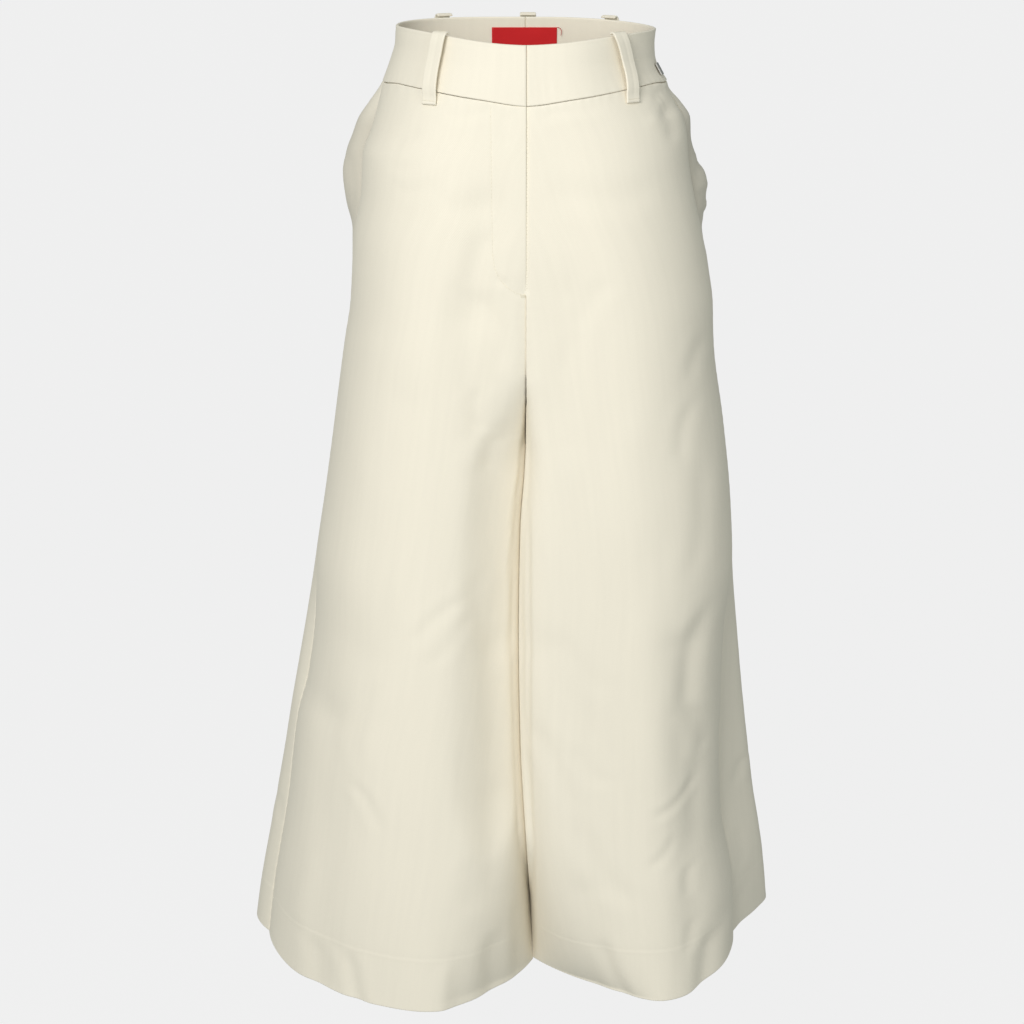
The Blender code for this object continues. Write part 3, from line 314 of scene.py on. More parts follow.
# soft creases of each panel, a ridge where the depth is below 0: x0, z0, x1, z1, the bend
# sideways, width, depth
CREASES = {
    "front_right": [
        (-33, -172, -48, -223, 3, 9, 0.9),
        (-48, -223, -20, -292, -6, 10, 1.5),
        (-46, -313, -40, -352, 2, 8, 1.1),
        (-24, -357, -33, -390, 3, 7, 0.8),
        (-45, -486, -39, -550, 3, 9, 0.8),
        (-122, -119, -74, -99, 4, 7, 0.5),
        (-118, -99, -94, -85, -2, 5, 0.35),
        (-116, -138, -80, -130, 2, 6, 0.35),
        (-74, -150, -30, -146, 2, 10, 0.6),
        (-71, -71, -32, -64, 2, 5, 0.45),
        (-18, -68, -17, -96, 2, 5, 0.4),
        (-27, -211, -16, -217, 1, 3.5, 0.5),
        (-57, -507, -104, -550, 4, 6, 0.6),
        (-52, -525, -90, -572, -3, 6, 0.4),
        (-139, -593, -162, -674, 6, 8, 0.7),
        (-162, -693, -138, -735, -4, 6, 0.6),
        (-28, -501, -27, -690, 4, 12, 1.0),
        (-30, -690, -36, -800, -4, 13, 1.2),
        (-3, -392, -13, -452, 1, 2.2, 0.5),
        (-4, -420, -15, -500, 2, 2.0, 0.45),
        (-12, -470, -15, -580, -1, 2.4, 0.4),
        (-52, -763, -52, -815, 2, 9, 0.6),
        (-168, -868, -157, -930, 2, 7, 1.5),
        (-203, -866, -205, -925, -1, 9, 1.3),
        (-76, -866, -79, -930, 1, 7, -0.9),
        (-31, -846, -30, -930, 2, 9, 1.8),
        (-203, -780, -223, -860, 3, 8, -0.7),
        (-8, -820, -6, -905, 1, 5, 0.8),
    ],
    "front_left": [
        (2.4, -425, 2.8, -655, 0, 2.0, 1.2),
        (2.8, -640, 9, -890, 0, 2.2, 1.0),
        (12, -70, 66, -64, -2, 5, 0.55),
        (19, -136, 112, -141, 3, 11, 0.7),
        (73, -214, 48, -256, 3, 8, 0.55),
        (44, -262, 34, -300, 2, 8, 0.35),
        (117, -53, 122, -60, 1, 6, 1.0),
        (124, -66, 129, -76, 1, 7, 1.6),
        (19, -58, 24, -68, 0, 3, 0.35),
        (152, -330, 141, -382, 4, 7, 0.7),
        (160, -391, 154, -492, -5, 9, 0.9),
        (163, -275, 149, -310, 3, 7, 0.8),
        (168, -525, 155, -622, 6, 9, 1.8),
        (155, -622, 171, -672, -5, 8, 1.6),
        (166, -673, 167, -760, 3, 9, 1.2),
        (45, -652, 74, -690, 3, 8, 0.7),
        (8, -632, 46, -724, -4, 9, 0.9),
        (45, -722, 98, -808, 5, 10, 1.2),
        (73, -850, 99, -915, 3, 7, 1.4),
        (164, -692, 121, -722, -4, 5, 0.8),
        (142, -745, 118, -771, -3, 5, 0.6),
        (159, -778, 158, -806, 3, 6, 0.9),
        (162, -832, 160, -864, 2, 6, 0.7),
        (181, -852, 176, -925, 2, 9, 2.6),
        (32, -544, 76, -600, 3, 9, 0.5),
        (100, -330, 92, -470, 5, 18, -0.5),
    ],
    "back_right": [
        (-168, -112, -160, -168, -3, 7, 0.9),
        (-20, -150, -78, -190, 4, 9, 0.9),
        (-14, -205, -92, -262, 5, 10, 1.1),
        (-18, -262, -86, -338, 4, 10, 1.2),
        (-60, -344, -128, -410, 5, 10, 1.1),
        (-40, -380, -46, -520, 5, 12, 1.3),
        (-118, -470, -140, -600, -6, 11, 0.9),
        (-96, -640, -120, -760, 5, 10, 0.8),
        (-243, -752, -236, -782, 2, 6, 0.7),
        (-150, -852, -158, -925, -2, 8, 1.5),
        (-58, -860, -52, -925, 2, 8, 1.2),
        (-238, -846, -244, -900, 2, 7, 1.1),
    ],
    "back_left": [
        (166, -122, 158, -140, 2, 5, 1.4),
        (160, -152, 169, -166, -3, 6, 1.6),
        (168, -172, 160, -186, 2, 5, 1.3),
        (18, -156, 72, -188, 4, 9, 0.8),
        (14, -212, 88, -270, 5, 10, 1.0),
        (20, -272, 92, -352, 4, 10, 1.3),
        (58, -340, 124, -402, 5, 10, 1.0),
        (40, -392, 48, -540, 5, 12, 1.2),
        (108, -480, 126, -620, -6, 11, 0.9),
        (86, -660, 118, -772, 5, 10, 0.8),
        (218, -719, 209, -744, 2, 6, 0.9),
        (210, -790, 218, -828, -2, 6, 0.8),
        (140, -850, 150, -925, -2, 8, 1.4),
        (52, -862, 46, -925, 2, 8, 1.2),
        (214, -852, 222, -905, 2, 7, 1.2),
    ],
}


def smooth_step(value):
    """0 below 0, 1 above 1, and 3v^2 - 2v^3 between."""
    value = np.clip(value, 0.0, 1.0)
    return value * value * (3.0 - 2.0 * value)


def bell(distance, width):
    """exp(-(distance / width)^2): 1 on a line, fading over that width on each side."""
    return np.exp(-(distance / width) ** 2)


def column(table, columns, name, z):
    """One named column of a table at the heights z: Hermite pieces with monotone slopes."""
    rows = np.array(sorted(table))
    knots = rows[:, 0] * MM
    values = rows[:, columns.index(name)] * (1.0 if name.startswith("bow") else MM)
    step = np.diff(knots)
    slope = np.diff(values) / step
    before, after = slope[:-1], slope[1:]
    heavy, light = 2 * step[1:] + step[:-1], step[1:] + 2 * step[:-1]
    same_way = before * after > 0
    mean = (heavy + light) / (heavy / np.where(same_way, before, 1.0)
                              + light / np.where(same_way, after, 1.0))
    tangent = np.concatenate(([slope[0]], np.where(same_way, mean, 0.0), [slope[-1]]))
    z = np.clip(z, knots[0], knots[-1])
    cell = np.clip(np.searchsorted(knots, z) - 1, 0, len(step) - 1)
    part = (z - knots[cell]) / step[cell]
    start = (1 + 2 * part) * (1 - part) ** 2
    finish = part ** 2 * (3 - 2 * part)
    bend = part * (1 - part) ** 2 * tangent[cell] - part ** 2 * (1 - part) * tangent[cell + 1]
    return start * values[cell] + finish * values[cell + 1] + step[cell] * bend


def quarter(side_x, side_y, crown_x, crown_y, bow, part):
    """A rounded quarter: cos and sin of a turning angle, each to the power 2 / bow."""
    angle = part * math.pi / 2
    across = np.clip(np.cos(angle), 0, 1) ** (2 / bow)
    along = np.clip(np.sin(angle), 0, 1) ** (2 / bow)
    return crown_x + (side_x - crown_x) * across, side_y + (crown_y - side_y) * along


def crotch_curve(z, top_z, top_y):
    """Depth (1 - d^2)^0.65 of the centre seam's curve, at the share d of its drop."""
    drop = np.clip((top_z - z) / (top_z - CROTCH_Z), 0.0, 1.0)
    return top_y * (1.0 - drop ** 2) ** 0.65


def parting_x(z):
    """X of the plane between the two halves: the middle, and below the crotch the inseams."""
    return np.where(z < CROTCH_Z, column(INSEAM_LINE, INSEAM_COLUMNS, "x", z), 0.0)


def centre_point(side, face, z):
    """Where a level section of one half ends: centre seam above the crotch, inseam below."""
    line_y = column(CENTRE_LINE, CENTRE_COLUMNS, face + "_y", z)
    top_z = FRONT_CURVE_Z if face == "front" else BACK_CURVE_Z
    top_y = float(column(CENTRE_LINE, CENTRE_COLUMNS, face + "_y", np.array([top_z]))[0])
    seam_y = np.where(z > top_z, line_y, crotch_curve(z, top_z, top_y))
    leg_y = column(INSEAM_LINE, INSEAM_COLUMNS, "y", z)
    return parting_x(z) + SIGN[side] * LEG_GAP / 2, np.where(z < CROTCH_Z, leg_y, seam_y)


def mouth(z):
    """How far the pocket mouth gapes: half a sine wave over its height."""
    part = np.clip((MOUTH_TOP_Z - z) / (MOUTH_TOP_Z - MOUTH_END_Z), 0.0, 1.0)
    return np.sin(math.pi * part)


def front_curve(side, z, part):
    """Front half section: part 0 is the side seam, 1 the crown, 2 the centre."""
    pick = {name: column(FRONT_SECTIONS[side], FRONT_COLUMNS, name, z)
            for name in FRONT_COLUMNS[1:]}
    seam_x, crown_x = SIGN[side] * pick["seam_x"], SIGN[side] * pick["crown_x"]
    centre_x, centre_y = centre_point(side, "front", z)
    inner_bow = column(INNER_BOWS[side], INNER_COLUMNS, "bow_front", z)
    out_x, out_y = quarter(seam_x, pick["seam_y"], crown_x, pick["crown_y"],
                           pick["bow"], np.clip(part, 0, 1))
    in_x, in_y = quarter(centre_x, centre_y, crown_x, pick["crown_y"],
                         inner_bow, np.clip(2 - part, 0, 1))
    return np.where(part > 1, in_x, out_x), np.where(part > 1, in_y, out_y)


def back_curve(side, z, part):
    """Back half section: 0 is the side seam, 1 the edge fold, 2 the seat, 3 the centre."""
    pick = {name: column(BACK_SECTIONS[side], BACK_COLUMNS, name, z)
            for name in BACK_COLUMNS[1:]}
    seam_x = SIGN[side] * column(FRONT_SECTIONS[side], FRONT_COLUMNS, "seam_x", z)
    seam_y = column(FRONT_SECTIONS[side], FRONT_COLUMNS, "seam_y", z) + mouth(z) * MOUTH_GAPE
    edge_x, seat_x = SIGN[side] * pick["edge_x"], SIGN[side] * pick["seat_x"]
    centre_x, centre_y = centre_point(side, "back", z)
    inner_bow = column(INNER_BOWS[side], INNER_COLUMNS, "bow_back", z)
    lower = smooth_step((EDGE_BOW_Z - z) / EDGE_BOW_OVER)
    bow = 1.0 + (EDGE_BOW[side] - 1.0) * lower + MOUTH_BOW * mouth(z)
    side_x, side_y = quarter(edge_x, pick["edge_y"], seam_x, seam_y, bow,
                             1 - np.clip(part, 0, 1))
    out_x, out_y = quarter(edge_x, pick["edge_y"], seat_x, pick["seat_y"],
                           pick["bow"], np.clip(part - 1, 0, 1))
    in_x, in_y = quarter(centre_x, centre_y, seat_x, pick["seat_y"],
                         inner_bow, np.clip(3 - part, 0, 1))
    x = np.where(part < 1, side_x, np.where(part > 2, in_x, out_x))
    y = np.where(part < 1, side_y, np.where(part > 2, in_y, out_y))
    return x, y


def waist_seam_z(x, y):
    """Height of the waist seam: level at sides and back, dipping by a soft S at the front."""
    dip = smooth_step(1 - np.abs(x) / SEAM_HALF_WIDTH)
    rise = smooth_step(np.abs(x) / SEAM_RISE_X)
    rise = rise * smooth_step((SEAM_HALF_WIDTH - np.abs(x)) / SEAM_RISE_FADE)
    return BAND_SIDE_Z + (SEAM_RISE * rise - SEAM_DIP * dip) * (y < 0)


def hem_shift(side, x, y):
    """How far the hem is above HEM_Z: lower towards the front, lifted at the outer side."""
    shape = HEM_SHIFT[side]
    drop = shape["front_drop"] * np.clip(-y / HEM_FRONT_REACH, 0, 1)
    lift = shape["lift"] * smooth_step((np.abs(x) - shape["from_x"]) / shape["over"])
    return lift - drop


def panel_height(side, level, x, y):
    """Real height of a level row: it follows the waist seam near the top, the hem near it."""
    at_top = waist_seam_z(x, y) - SEAM_GAP / 2 - BAND_SIDE_Z
    near_top = np.clip(1 - (BAND_SIDE_Z - level) / WAIST_WARP, 0, 1) ** 2
    near_hem = np.clip((level - HEM_WARP_Z) / (HEM_Z - HEM_WARP_Z), 0, 1) ** 1.5
    return level + at_top * near_top + hem_shift(side, x, y) * near_hem


def section_lines(curve, side, levels, parts):
    """Rows of points, one for each level: the section's curve at its row's real height."""
    level, part = np.broadcast_arrays(levels[:, None], parts[None])
    x, y = curve(side, level, part)
    z = panel_height(side, level, x, y)
    x, y = curve(side, z, part)
    return np.stack([x, y, z], axis=-1)


def travelled(lines):
    """Distance along each row of points from its start."""
    step = np.linalg.norm(np.diff(lines, axis=1), axis=2)
    return np.concatenate((np.zeros((len(lines), 1)), np.cumsum(step, axis=1)), axis=1)


def along_rows(lines, wanted):
    """Points of all rows at the wanted distances: one interpolation, rows laid end to end."""
    travel = travelled(lines)
    shift = np.arange(len(lines))[:, None] * 2.0
    axis_in = (travel + shift).ravel()
    axis_out = (np.clip(wanted, 0, travel[:, -1:]) + shift).ravel()
    found = [np.interp(axis_out, axis_in, lines[..., axis].ravel()) for axis in range(3)]
    return np.stack(found, axis=-1).reshape(wanted.shape + (3,))


def softened(lines, spread):
    """Rows averaged along themselves by a bell of that many points, with their ends kept."""
    reach = 3 * spread
    weights = bell(np.arange(-reach, reach + 1), spread * math.sqrt(2))
    before = 2 * lines[:, :1] - lines[:, reach:0:-1]
    after = 2 * lines[:, -1:] - lines[:, -2:-reach - 2:-1]
    padded = np.concatenate((before, lines, after), axis=1)
    count = lines.shape[1]
    total = sum(weight * padded[:, k:k + count] for k, weight in enumerate(weights))
    return total / weights.sum()


def unit(vectors):
    """Vectors brought to length 1."""
    return vectors / np.maximum(np.linalg.norm(vectors, axis=-1, keepdims=True), 1e-12)


def grid_normals(grid, sign):
    """Unit normals: the cross product of each cell's diagonals, summed at its corners."""
    face = np.cross(grid[1:, 1:] - grid[:-1, :-1], grid[1:, :-1] - grid[:-1, 1:]) * sign
    total = np.zeros_like(grid)
    for rows in (slice(None, -1), slice(1, None)):
        for cols in (slice(None, -1), slice(1, None)):
            total[rows, cols] += face
    return unit(total)


def dropped_edge(distance, radius):
    """How far a rounded edge falls back from its face: a quarter circle of that radius."""
    part = np.clip((radius - distance) / radius, 0.0, 1.0)
    return radius * (1.0 - np.sqrt(np.maximum(1.0 - part ** 2, 0.0)))


def line_distance(points, x0, z0, x1, z1, bend=0.0):
    """Share along a line in X and Z, and distance from it, the line bowed by bend sin(pi t)."""
    run = np.array([x1 - x0, z1 - z0]) * MM
    length = math.hypot(*run)
    offset_x, offset_z = points[..., 0] - x0 * MM, points[..., 2] - z0 * MM
    share = (offset_x * run[0] + offset_z * run[1]) / length ** 2
    off = (offset_x * run[1] - offset_z * run[0]) / length
    off = off - bend * MM * np.sin(math.pi * np.clip(share, 0, 1))
    past = (share - np.clip(share, 0, 1)) * length
    return share, np.hypot(off, past)


def fold_depth(panel, points):
    """Depth of the broad troughs: each deep * exp(-(d / width)^2) of its line's distance d."""
    depth = np.zeros(points.shape[:2])
    for x0, z0, x1, z1, width, deep in FOLDS[panel]:
        away = line_distance(points, x0, z0, x1, z1)[1]
        depth += deep * MM * bell(away, width * MM)
    return depth


def crease_depth(panel, points):
    """Soft troughs with a low ridge on each side, thinning out towards both of their ends."""
    depth = np.zeros(points.shape[:2])
    for x0, z0, x1, z1, bend, width, deep in CREASES[panel]:
        share, away = line_distance(points, x0, z0, x1, z1, bend)
        lengthwise = smooth_step((0.5 - np.abs(share - 0.5)) * 3.2 + 0.35)
        trough = bell(away, width * MM)
        ridge = bell(away - 1.9 * width * MM, width * MM)
        depth += deep * MM * lengthwise * (trough - 0.4 * ridge)
    return depth


def panel_ripple(across, down, turn):
    """Slight unevenness of a pressed and worn cloth: four slow waves crossing each other."""
    waves = ((0.13, 61, 17, 0.3), (0.11, 38, -29, 1.9), (0.08, 21, 47, 4.1), (0.05, 96, 63, 2.6))
    total = sum(deep * MM * np.sin(k_across * across + k_down * down + phase * turn
                                   + 0.8 * np.sin(19 * down + turn))
                for deep, k_across, k_down, phase in waves)
    return total


def seam_puckers(along, distance, turn):
    """Short ripples that the stitching draws along a seam, fading within a few millimetres."""
    wave = np.sin(2 * math.pi * along / (11 * MM) + 1.6 * np.sin(along / (23 * MM) + turn))
    return 0.16 * MM * wave * np.exp(-distance / (6 * MM))


NEAR_SEAM = np.array([0, 0.3, 0.7, 1.2, 1.8, 2.6, 3.6, 5.0, 7.0]) * MM
PANEL_COLUMNS = {"front": 136, "back": 96}
CENTRE_CROWDING = {"front": 0.45, "back": 0.0}
ROW_STEP = 3 * MM
FINE_POINTS = 300            # points on a row before it is spread over the columns
FINE_SOFTENING = 7
FREE_FROM_SEAM = 12 * MM     # creases and ripples come to their full depth at this distance
LEAST_WALL = 0.5 * MM


def panel_levels():
    """Rows from waist seam to hem: fine at the seam, round the crotch and at both hem lines."""
    rise = np.arange(BAND_SIDE_Z - NEAR_SEAM[-1] - ROW_STEP, BACK_CURVE_Z, -ROW_STEP)
    turn = np.radians(np.linspace(0, 90, 37))
    crotch = BACK_CURVE_Z - (BACK_CURVE_Z - CROTCH_Z) * np.sin(turn)
    under = CROTCH_Z - np.array([0.3, 1.0, 2.2, 4.2, 7.0]) * MM
    hem_line = HEM_Z + HEM_DEPTH
    leg = np.arange(under[-1] - ROW_STEP, hem_line + 6 * MM, -ROW_STEP)
    turned = np.linspace(hem_line + 5 * MM, hem_line - 5 * MM, 14)
    hem = np.linspace(hem_line - 7 * MM, HEM_Z + NEAR_SEAM[-1] + ROW_STEP, 12)
    top = BAND_SIDE_Z - NEAR_SEAM
    return np.concatenate((top, rise, crotch, under, leg, turned, hem, HEM_Z + NEAR_SEAM[::-1]))


def relaxed(lines, levels):
    """Rows averaged with their neighbours by a bell over height, round the crotch alone.

    Points at equal distances from the side seam are averaged, and each row ends where it did.
    """
    run = travelled(lines)
    length = run[:, -1:]
    count = 420
    step = length.max() / (count - 1)
    spread = along_rows(lines, np.broadcast_to(np.arange(count) * step, (len(lines), count)))
    weights = bell(levels[:, None] - levels[None], CROTCH_EASE) * np.gradient(levels)[None]
    weights = weights / weights.sum(axis=1, keepdims=True)
    averaged = np.einsum("ij,jkl->ikl", weights, spread)
    place = np.clip(run / step, 0, count - 1.001)
    cell = place.astype(int)
    part = (place - cell)[..., None]
    row = np.arange(len(lines))[:, None]
    averaged = averaged[row, cell] * (1 - part) + averaged[row, cell + 1] * part
    near = smooth_step((FRONT_CURVE_Z + 25 * MM - levels) / (20 * MM))
    near = near * smooth_step((levels - CROTCH_Z + 130 * MM) / (60 * MM))
    share = near[:, None] * smooth_step((length - run - 6 * MM) / (25 * MM))
    return lines + (averaged - lines) * share[..., None]


def panel_grid(face, curve, last, side, levels):
    """Softened rows, closer towards the centre, and their distances from both end seams."""
    lines = section_lines(curve, side, levels, np.linspace(0, last, 140 * last + 1))
    length = travelled(lines)[:, -1]
    even = along_rows(lines, np.linspace(0, 1, FINE_POINTS)[None] * length[:, None])
    even = softened(even, FINE_SOFTENING)
    even, held = leaned_together(side, relaxed(even, levels))
    length = travelled(even)[:, -1]
    count, edge = len(NEAR_SEAM), NEAR_SEAM[-1]
    between = np.linspace(0, 1, PANEL_COLUMNS[face] - 2 * count + 2)[1:-1]
    between = between + CENTRE_CROWDING[face] * between * (1 - between)
    spread = edge + between[None] * (length - 2 * edge)[:, None]
    ends = np.broadcast_to(NEAR_SEAM, (len(levels), count))
    places = np.concatenate((ends, spread, length[:, None] - ends[:, ::-1]), axis=1)
    steps = travelled(even)
    held = np.stack([np.interp(at, run, share) for at, run, share in zip(places, steps, held)])
    return along_rows(even, places), places, length[:, None] - places, held


def kept_on_side(side, points):
    """Points held on their own half: off the centre plane, and off the other leg."""
    limit = parting_x(points[..., 2]) + SIGN[side] * LEG_GAP / 2
    kept = points.copy()
    hold = np.minimum if side == "right" else np.maximum
    kept[..., 0] = hold(points[..., 0], limit)
    return kept


def leaned_together(side, points):
    """Legs leaning on each other, and how closely each point is held by that.

    Near the plane between them the distance g to it is multiplied by a smooth step, 0 below
    the valley's floor and 1 at VALLEY_SOFT above it.  The right leg also turns away from its
    front: its depth is the soft minimum of itself and floor + VALLEY_SLOPE g.
    """
    x, y, z = points[..., 0], points[..., 1], points[..., 2]
    plane = parting_x(z)
    apart = (x - plane) * SIGN[side]
    floor = VALLEY_FLOOR[side] * smooth_step((z - HEM_Z) / VALLEY_FADE)
    over = smooth_step((np.abs(y) - floor) / VALLEY_SOFT)
    on_legs = smooth_step((FRONT_CURVE_Z - z) / VALLEY_OVER)
    held = smooth_step((VALLEY_REACH - apart) / VALLEY_PLANE_FADE) * on_legs * (1 - over)
    apart = apart * (1 - held)
    leaned = points.copy()
    leaned[..., 0] = plane + SIGN[side] * apart
    if side == "right":
        onset = smooth_step((VALLEY_START_Z - z) / VALLEY_ONSET)
        away = (1 - onset * smooth_step((z - VALLEY_END_Z) / VALLEY_FADE)) * VALLEY_OUT
        cap = VALLEY_FLOOR[side] + VALLEY_TURN + VALLEY_SLOPE * apart + away
        excess = -y - cap
        soft = 0.5 * (excess + np.sqrt(excess ** 2 + VALLEY_BEND ** 2))
        leaned[..., 1] = y + soft * smooth_step(-y / VALLEY_DEPTH_FADE)
    return leaned, held


def agreed(first, second, share):
    """Two seams' normals turned towards their mean by the given share."""
    mean = unit(first + second)
    share = share[:, None]
    return unit(mean * share + first * (1 - share)), unit(mean * share + second * (1 - share))


def seam_normals(side, levels, front, back):
    """Outward normals of a half's two panels, made the same along the seams they share."""
    sign = SIGN[side]
    front_out, back_out = grid_normals(front, sign), grid_normals(back, -sign)
    closed = 1 - smooth_step(mouth(levels) / MOUTH_PARTING)
    front_out[:, 0], back_out[:, 0] = agreed(front_out[:, 0], back_out[:, 0], closed)
    legs = (levels <= CROTCH_Z + 1e-9).astype(float)
    front_out[:, -1], back_out[:, -1] = agreed(front_out[:, -1], back_out[:, -1], legs)
    for out, top_z in ((front_out, FRONT_CURVE_Z), (back_out, BACK_CURVE_Z)):
        out[levels > top_z, -1, 0] = 0.0
        out[:, -1] = unit(out[:, -1])
    return front_out, back_out


def fly_step(points):
    """Extra height of the right front's folded edge, down to the end of the fly."""
    near_centre = smooth_step(1 - np.abs(points[..., 0]) / FLY_EASE)
    above_end = smooth_step((points[..., 2] - FLY_END_Z) / FLY_FADE)
    return FLY_PROUD * near_centre * above_end


SIDE_GROOVE = 0.9 * MM       # depth of the groove along the side seams
SIDE_GROOVE_WIDTH = 1.1 * MM
CENTRE_GROOVE = 0.4 * MM
CENTRE_GROOVE_WIDTH = 0.9 * MM
INSEAM_RIDGE_WIDTH = 6 * MM
WAIST_GROOVE = 0.55 * MM
WAIST_GROOVE_WIDTH = 1.1 * MM
FLY_STITCH_GROOVE = 0.42 * MM
HEM_LINE_RELIEF = 0.09 * MM
HEM_FOLD_RADIUS = 1.25 * MM
FLY_EDGE_RADIUS = 1.1 * MM
# the J-shaped line that holds the fly facing, as X and Z in millimetres
FLY_STITCH_LINE = [(-31.5, -62), (-31, -100), (-30.5, -150), (-30, -190), (-28, -203),
                   (-23.5, -213), (-17, -220), (-10, -224.5), (-3.5, -227)]


def fly_stitch_distance(points):
    """Distance in X and Z from the fly's stitch line, taken piece by piece."""
    away = np.full(points.shape[:2], 1.0)
    for (x0, z0), (x1, z1) in zip(FLY_STITCH_LINE[:-1], FLY_STITCH_LINE[1:]):
        away = np.minimum(away, line_distance(points, x0, z0, x1, z1)[1])
    return away


def sewn_relief(face, side, levels, points, from_side, from_centre):
    """Depth of what the sewing does outside: grooves at the seams, puckers, hem line, fly."""
    level = levels[:, None]
    z = points[..., 2]
    from_top = BAND_SIDE_Z - level
    from_hem = level - HEM_Z
    gaping = smooth_step(mouth(level) / MOUTH_PARTING)
    turn = 1.7 if side == "right" else 3.1
    depth = (1 - gaping) * (SIDE_GROOVE * bell(from_side, SIDE_GROOVE_WIDTH)
                            + seam_puckers(z, from_side, turn))
    if face == "front":
        depth += gaping * dropped_edge(from_side, 0.6 * MM)
    fly_part = smooth_step((z - FLY_END_Z) / (4 * MM)) if face == "front" else 0.0 * z
    on_leg = smooth_step((CROTCH_Z + 8 * MM - level) / (16 * MM))
    groove = CENTRE_GROOVE * bell(from_centre, CENTRE_GROOVE_WIDTH)
    groove = groove + seam_puckers(z, from_centre, turn + 2)
    depth += (1 - fly_part) * (1 - on_leg) * groove
    depth -= on_leg * CENTRE_GROOVE * bell(from_centre, INSEAM_RIDGE_WIDTH)
    depth += WAIST_GROOVE * bell(from_top, WAIST_GROOVE_WIDTH)
    depth += seam_puckers(points[..., 0] * 1.3, from_top, turn + 1)
    depth += dropped_edge(from_hem, HEM_FOLD_RADIUS)
    at_hem_line = from_hem - HEM_DEPTH
    depth -= HEM_LINE_RELIEF * bell(at_hem_line, 1.8 * MM)
    depth += HEM_LINE_RELIEF * bell(at_hem_line - 2.8 * MM, 2.2 * MM)
    if face == "front" and side == "right":
        depth += fly_part * dropped_edge(from_centre, FLY_EDGE_RADIUS)
        depth -= fly_step(points)
        depth += FLY_STITCH_GROOVE * bell(fly_stitch_distance(points), SIDE_GROOVE_WIDTH)
    elif face == "front":
        depth += fly_part * UNDERLAP_DIP * smooth_step((4 * MM - from_centre) / (3 * MM))
    return depth


def wall_thickness(levels, from_side, from_centre):
    """One layer, two at the hem, and the pressed-open edges beside each seam."""
    hem = smooth_step((HEM_Z + HEM_DEPTH + 1 * MM - levels[:, None]) / MM)
    near = np.minimum(from_side, from_centre)
    edges = ALLOWANCE * smooth_step((ALLOWANCE_WIDTH - near) / (0.8 * MM))
    return WALL + (HEM_WALL - WALL) * hem + edges


def new_piece(name, points, quads, layout=None):
    """A smooth mesh object of quads, with an optional UV place for every point."""
    mesh = bpy.data.meshes.new(name)
    mesh.vertices.add(len(points))
    mesh.vertices.foreach_set("co", np.ascontiguousarray(points, dtype=np.float32).ravel())
    mesh.loops.add(quads.size)
    mesh.loops.foreach_set("vertex_index", quads.astype(np.int32).ravel())
    mesh.polygons.add(len(quads))
    mesh.polygons.foreach_set("loop_start", np.arange(0, quads.size, 4, dtype=np.int32))
    mesh.update(calc_edges=True)
    if layout is not None:
        places = mesh.uv_layers.new(name="cloth")
        places.data.foreach_set("uv", layout[quads.ravel()].astype(np.float32).ravel())
    mesh.shade_smooth()
    mesh.set_sharp_from_angle(angle=math.radians(55))
    piece = bpy.data.objects.new(name, mesh)
    bpy.context.scene.collection.objects.link(piece)
    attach(piece, "root")
    return piece


def cloth_piece(name, outer, inner, across, down, flip):
    """A closed wall between two grids of points: both faces, and quads round the border."""
    rows, cols = outer.shape[:2]
    index = np.arange(rows * cols).reshape(rows, cols)
    cells = np.stack([index[:-1, :-1], index[:-1, 1:], index[1:, 1:], index[1:, :-1]], axis=-1)
    cells = cells.reshape(-1, 4)
    border = np.concatenate((index[0, :-1], index[:-1, -1], index[-1, :0:-1], index[:0:-1, 0]))
    beyond = np.roll(border, -1)
    count = rows * cols
    rim = np.stack([border, border + count, beyond + count, beyond], axis=-1)
    under = cells[:, ::-1] + count
    quads = np.concatenate((cells, under, rim))
    if flip:
        quads = quads[:, ::-1]
    places = np.stack([across.ravel(), down.ravel()], axis=-1)
    points = np.concatenate((outer.reshape(-1, 3), inner.reshape(-1, 3)))
    return new_piece(name, points, quads, np.concatenate((places, places)))


def make_half(side):
    """Front and back panel of one half: shaped, creased, sewn, and given their thickness."""
    levels = panel_levels()
    shapes = {"front": panel_grid("front", front_curve, 2, side, levels),
              "back": panel_grid("back", back_curve, 3, side, levels)}
    grids = {face: shape[0] for face, shape in shapes.items()}
    normals = dict(zip(("front", "back"), seam_normals(side, levels, *grids.values())))
    for face, (grid, from_side, from_centre, held) in shapes.items():
        near_edge = np.minimum(np.minimum(from_side, from_centre), BAND_SIDE_Z - levels[:, None])
        free = smooth_step(near_edge / FREE_FROM_SEAM)
        turn = {"right": 0.6, "left": 2.2}[side] + (1.4 if face == "back" else 0.0)
        panel = face + "_" + side
        depth = fold_depth(panel, grid)
        depth += crease_depth(panel, grid) * (0.15 + 0.85 * free)
        depth += panel_ripple(from_side, grid[..., 2], turn) * free
        grids[face] = grid - normals[face] * (depth * (1 - held))[..., None]
    normals = dict(zip(("front", "back"), seam_normals(side, levels, *grids.values())))
    for face, (_, from_side, from_centre, _) in shapes.items():
        panel, grid, out = face + "_" + side, grids[face], normals[face]
        relief = sewn_relief(face, side, levels, grid, from_side, from_centre)
        thickness = wall_thickness(levels, from_side, from_centre)
        outer = kept_on_side(side, grid - out * relief[..., None])
        depth = np.maximum(thickness, relief + LEAST_WALL)
        inner = kept_on_side(side, grid - out * depth[..., None])
        if panel == "front_left":
            under = smooth_step((1.5 * MM - from_centre) / (1.5 * MM))
            under = under * smooth_step((grid[..., 2] - FLY_END_Z) / (4 * MM))
            outer[..., 0] -= UNDERLAP * under
            inner[..., 0] -= UNDERLAP * under
        piece = cloth_piece("panel_" + panel, outer, inner, from_side, -grid[..., 2],
                            (face == "front") == (side == "left"))
        panel_pieces[panel] = piece
        panel_faces[panel] = (outer, out, relief)
        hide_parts(panel)


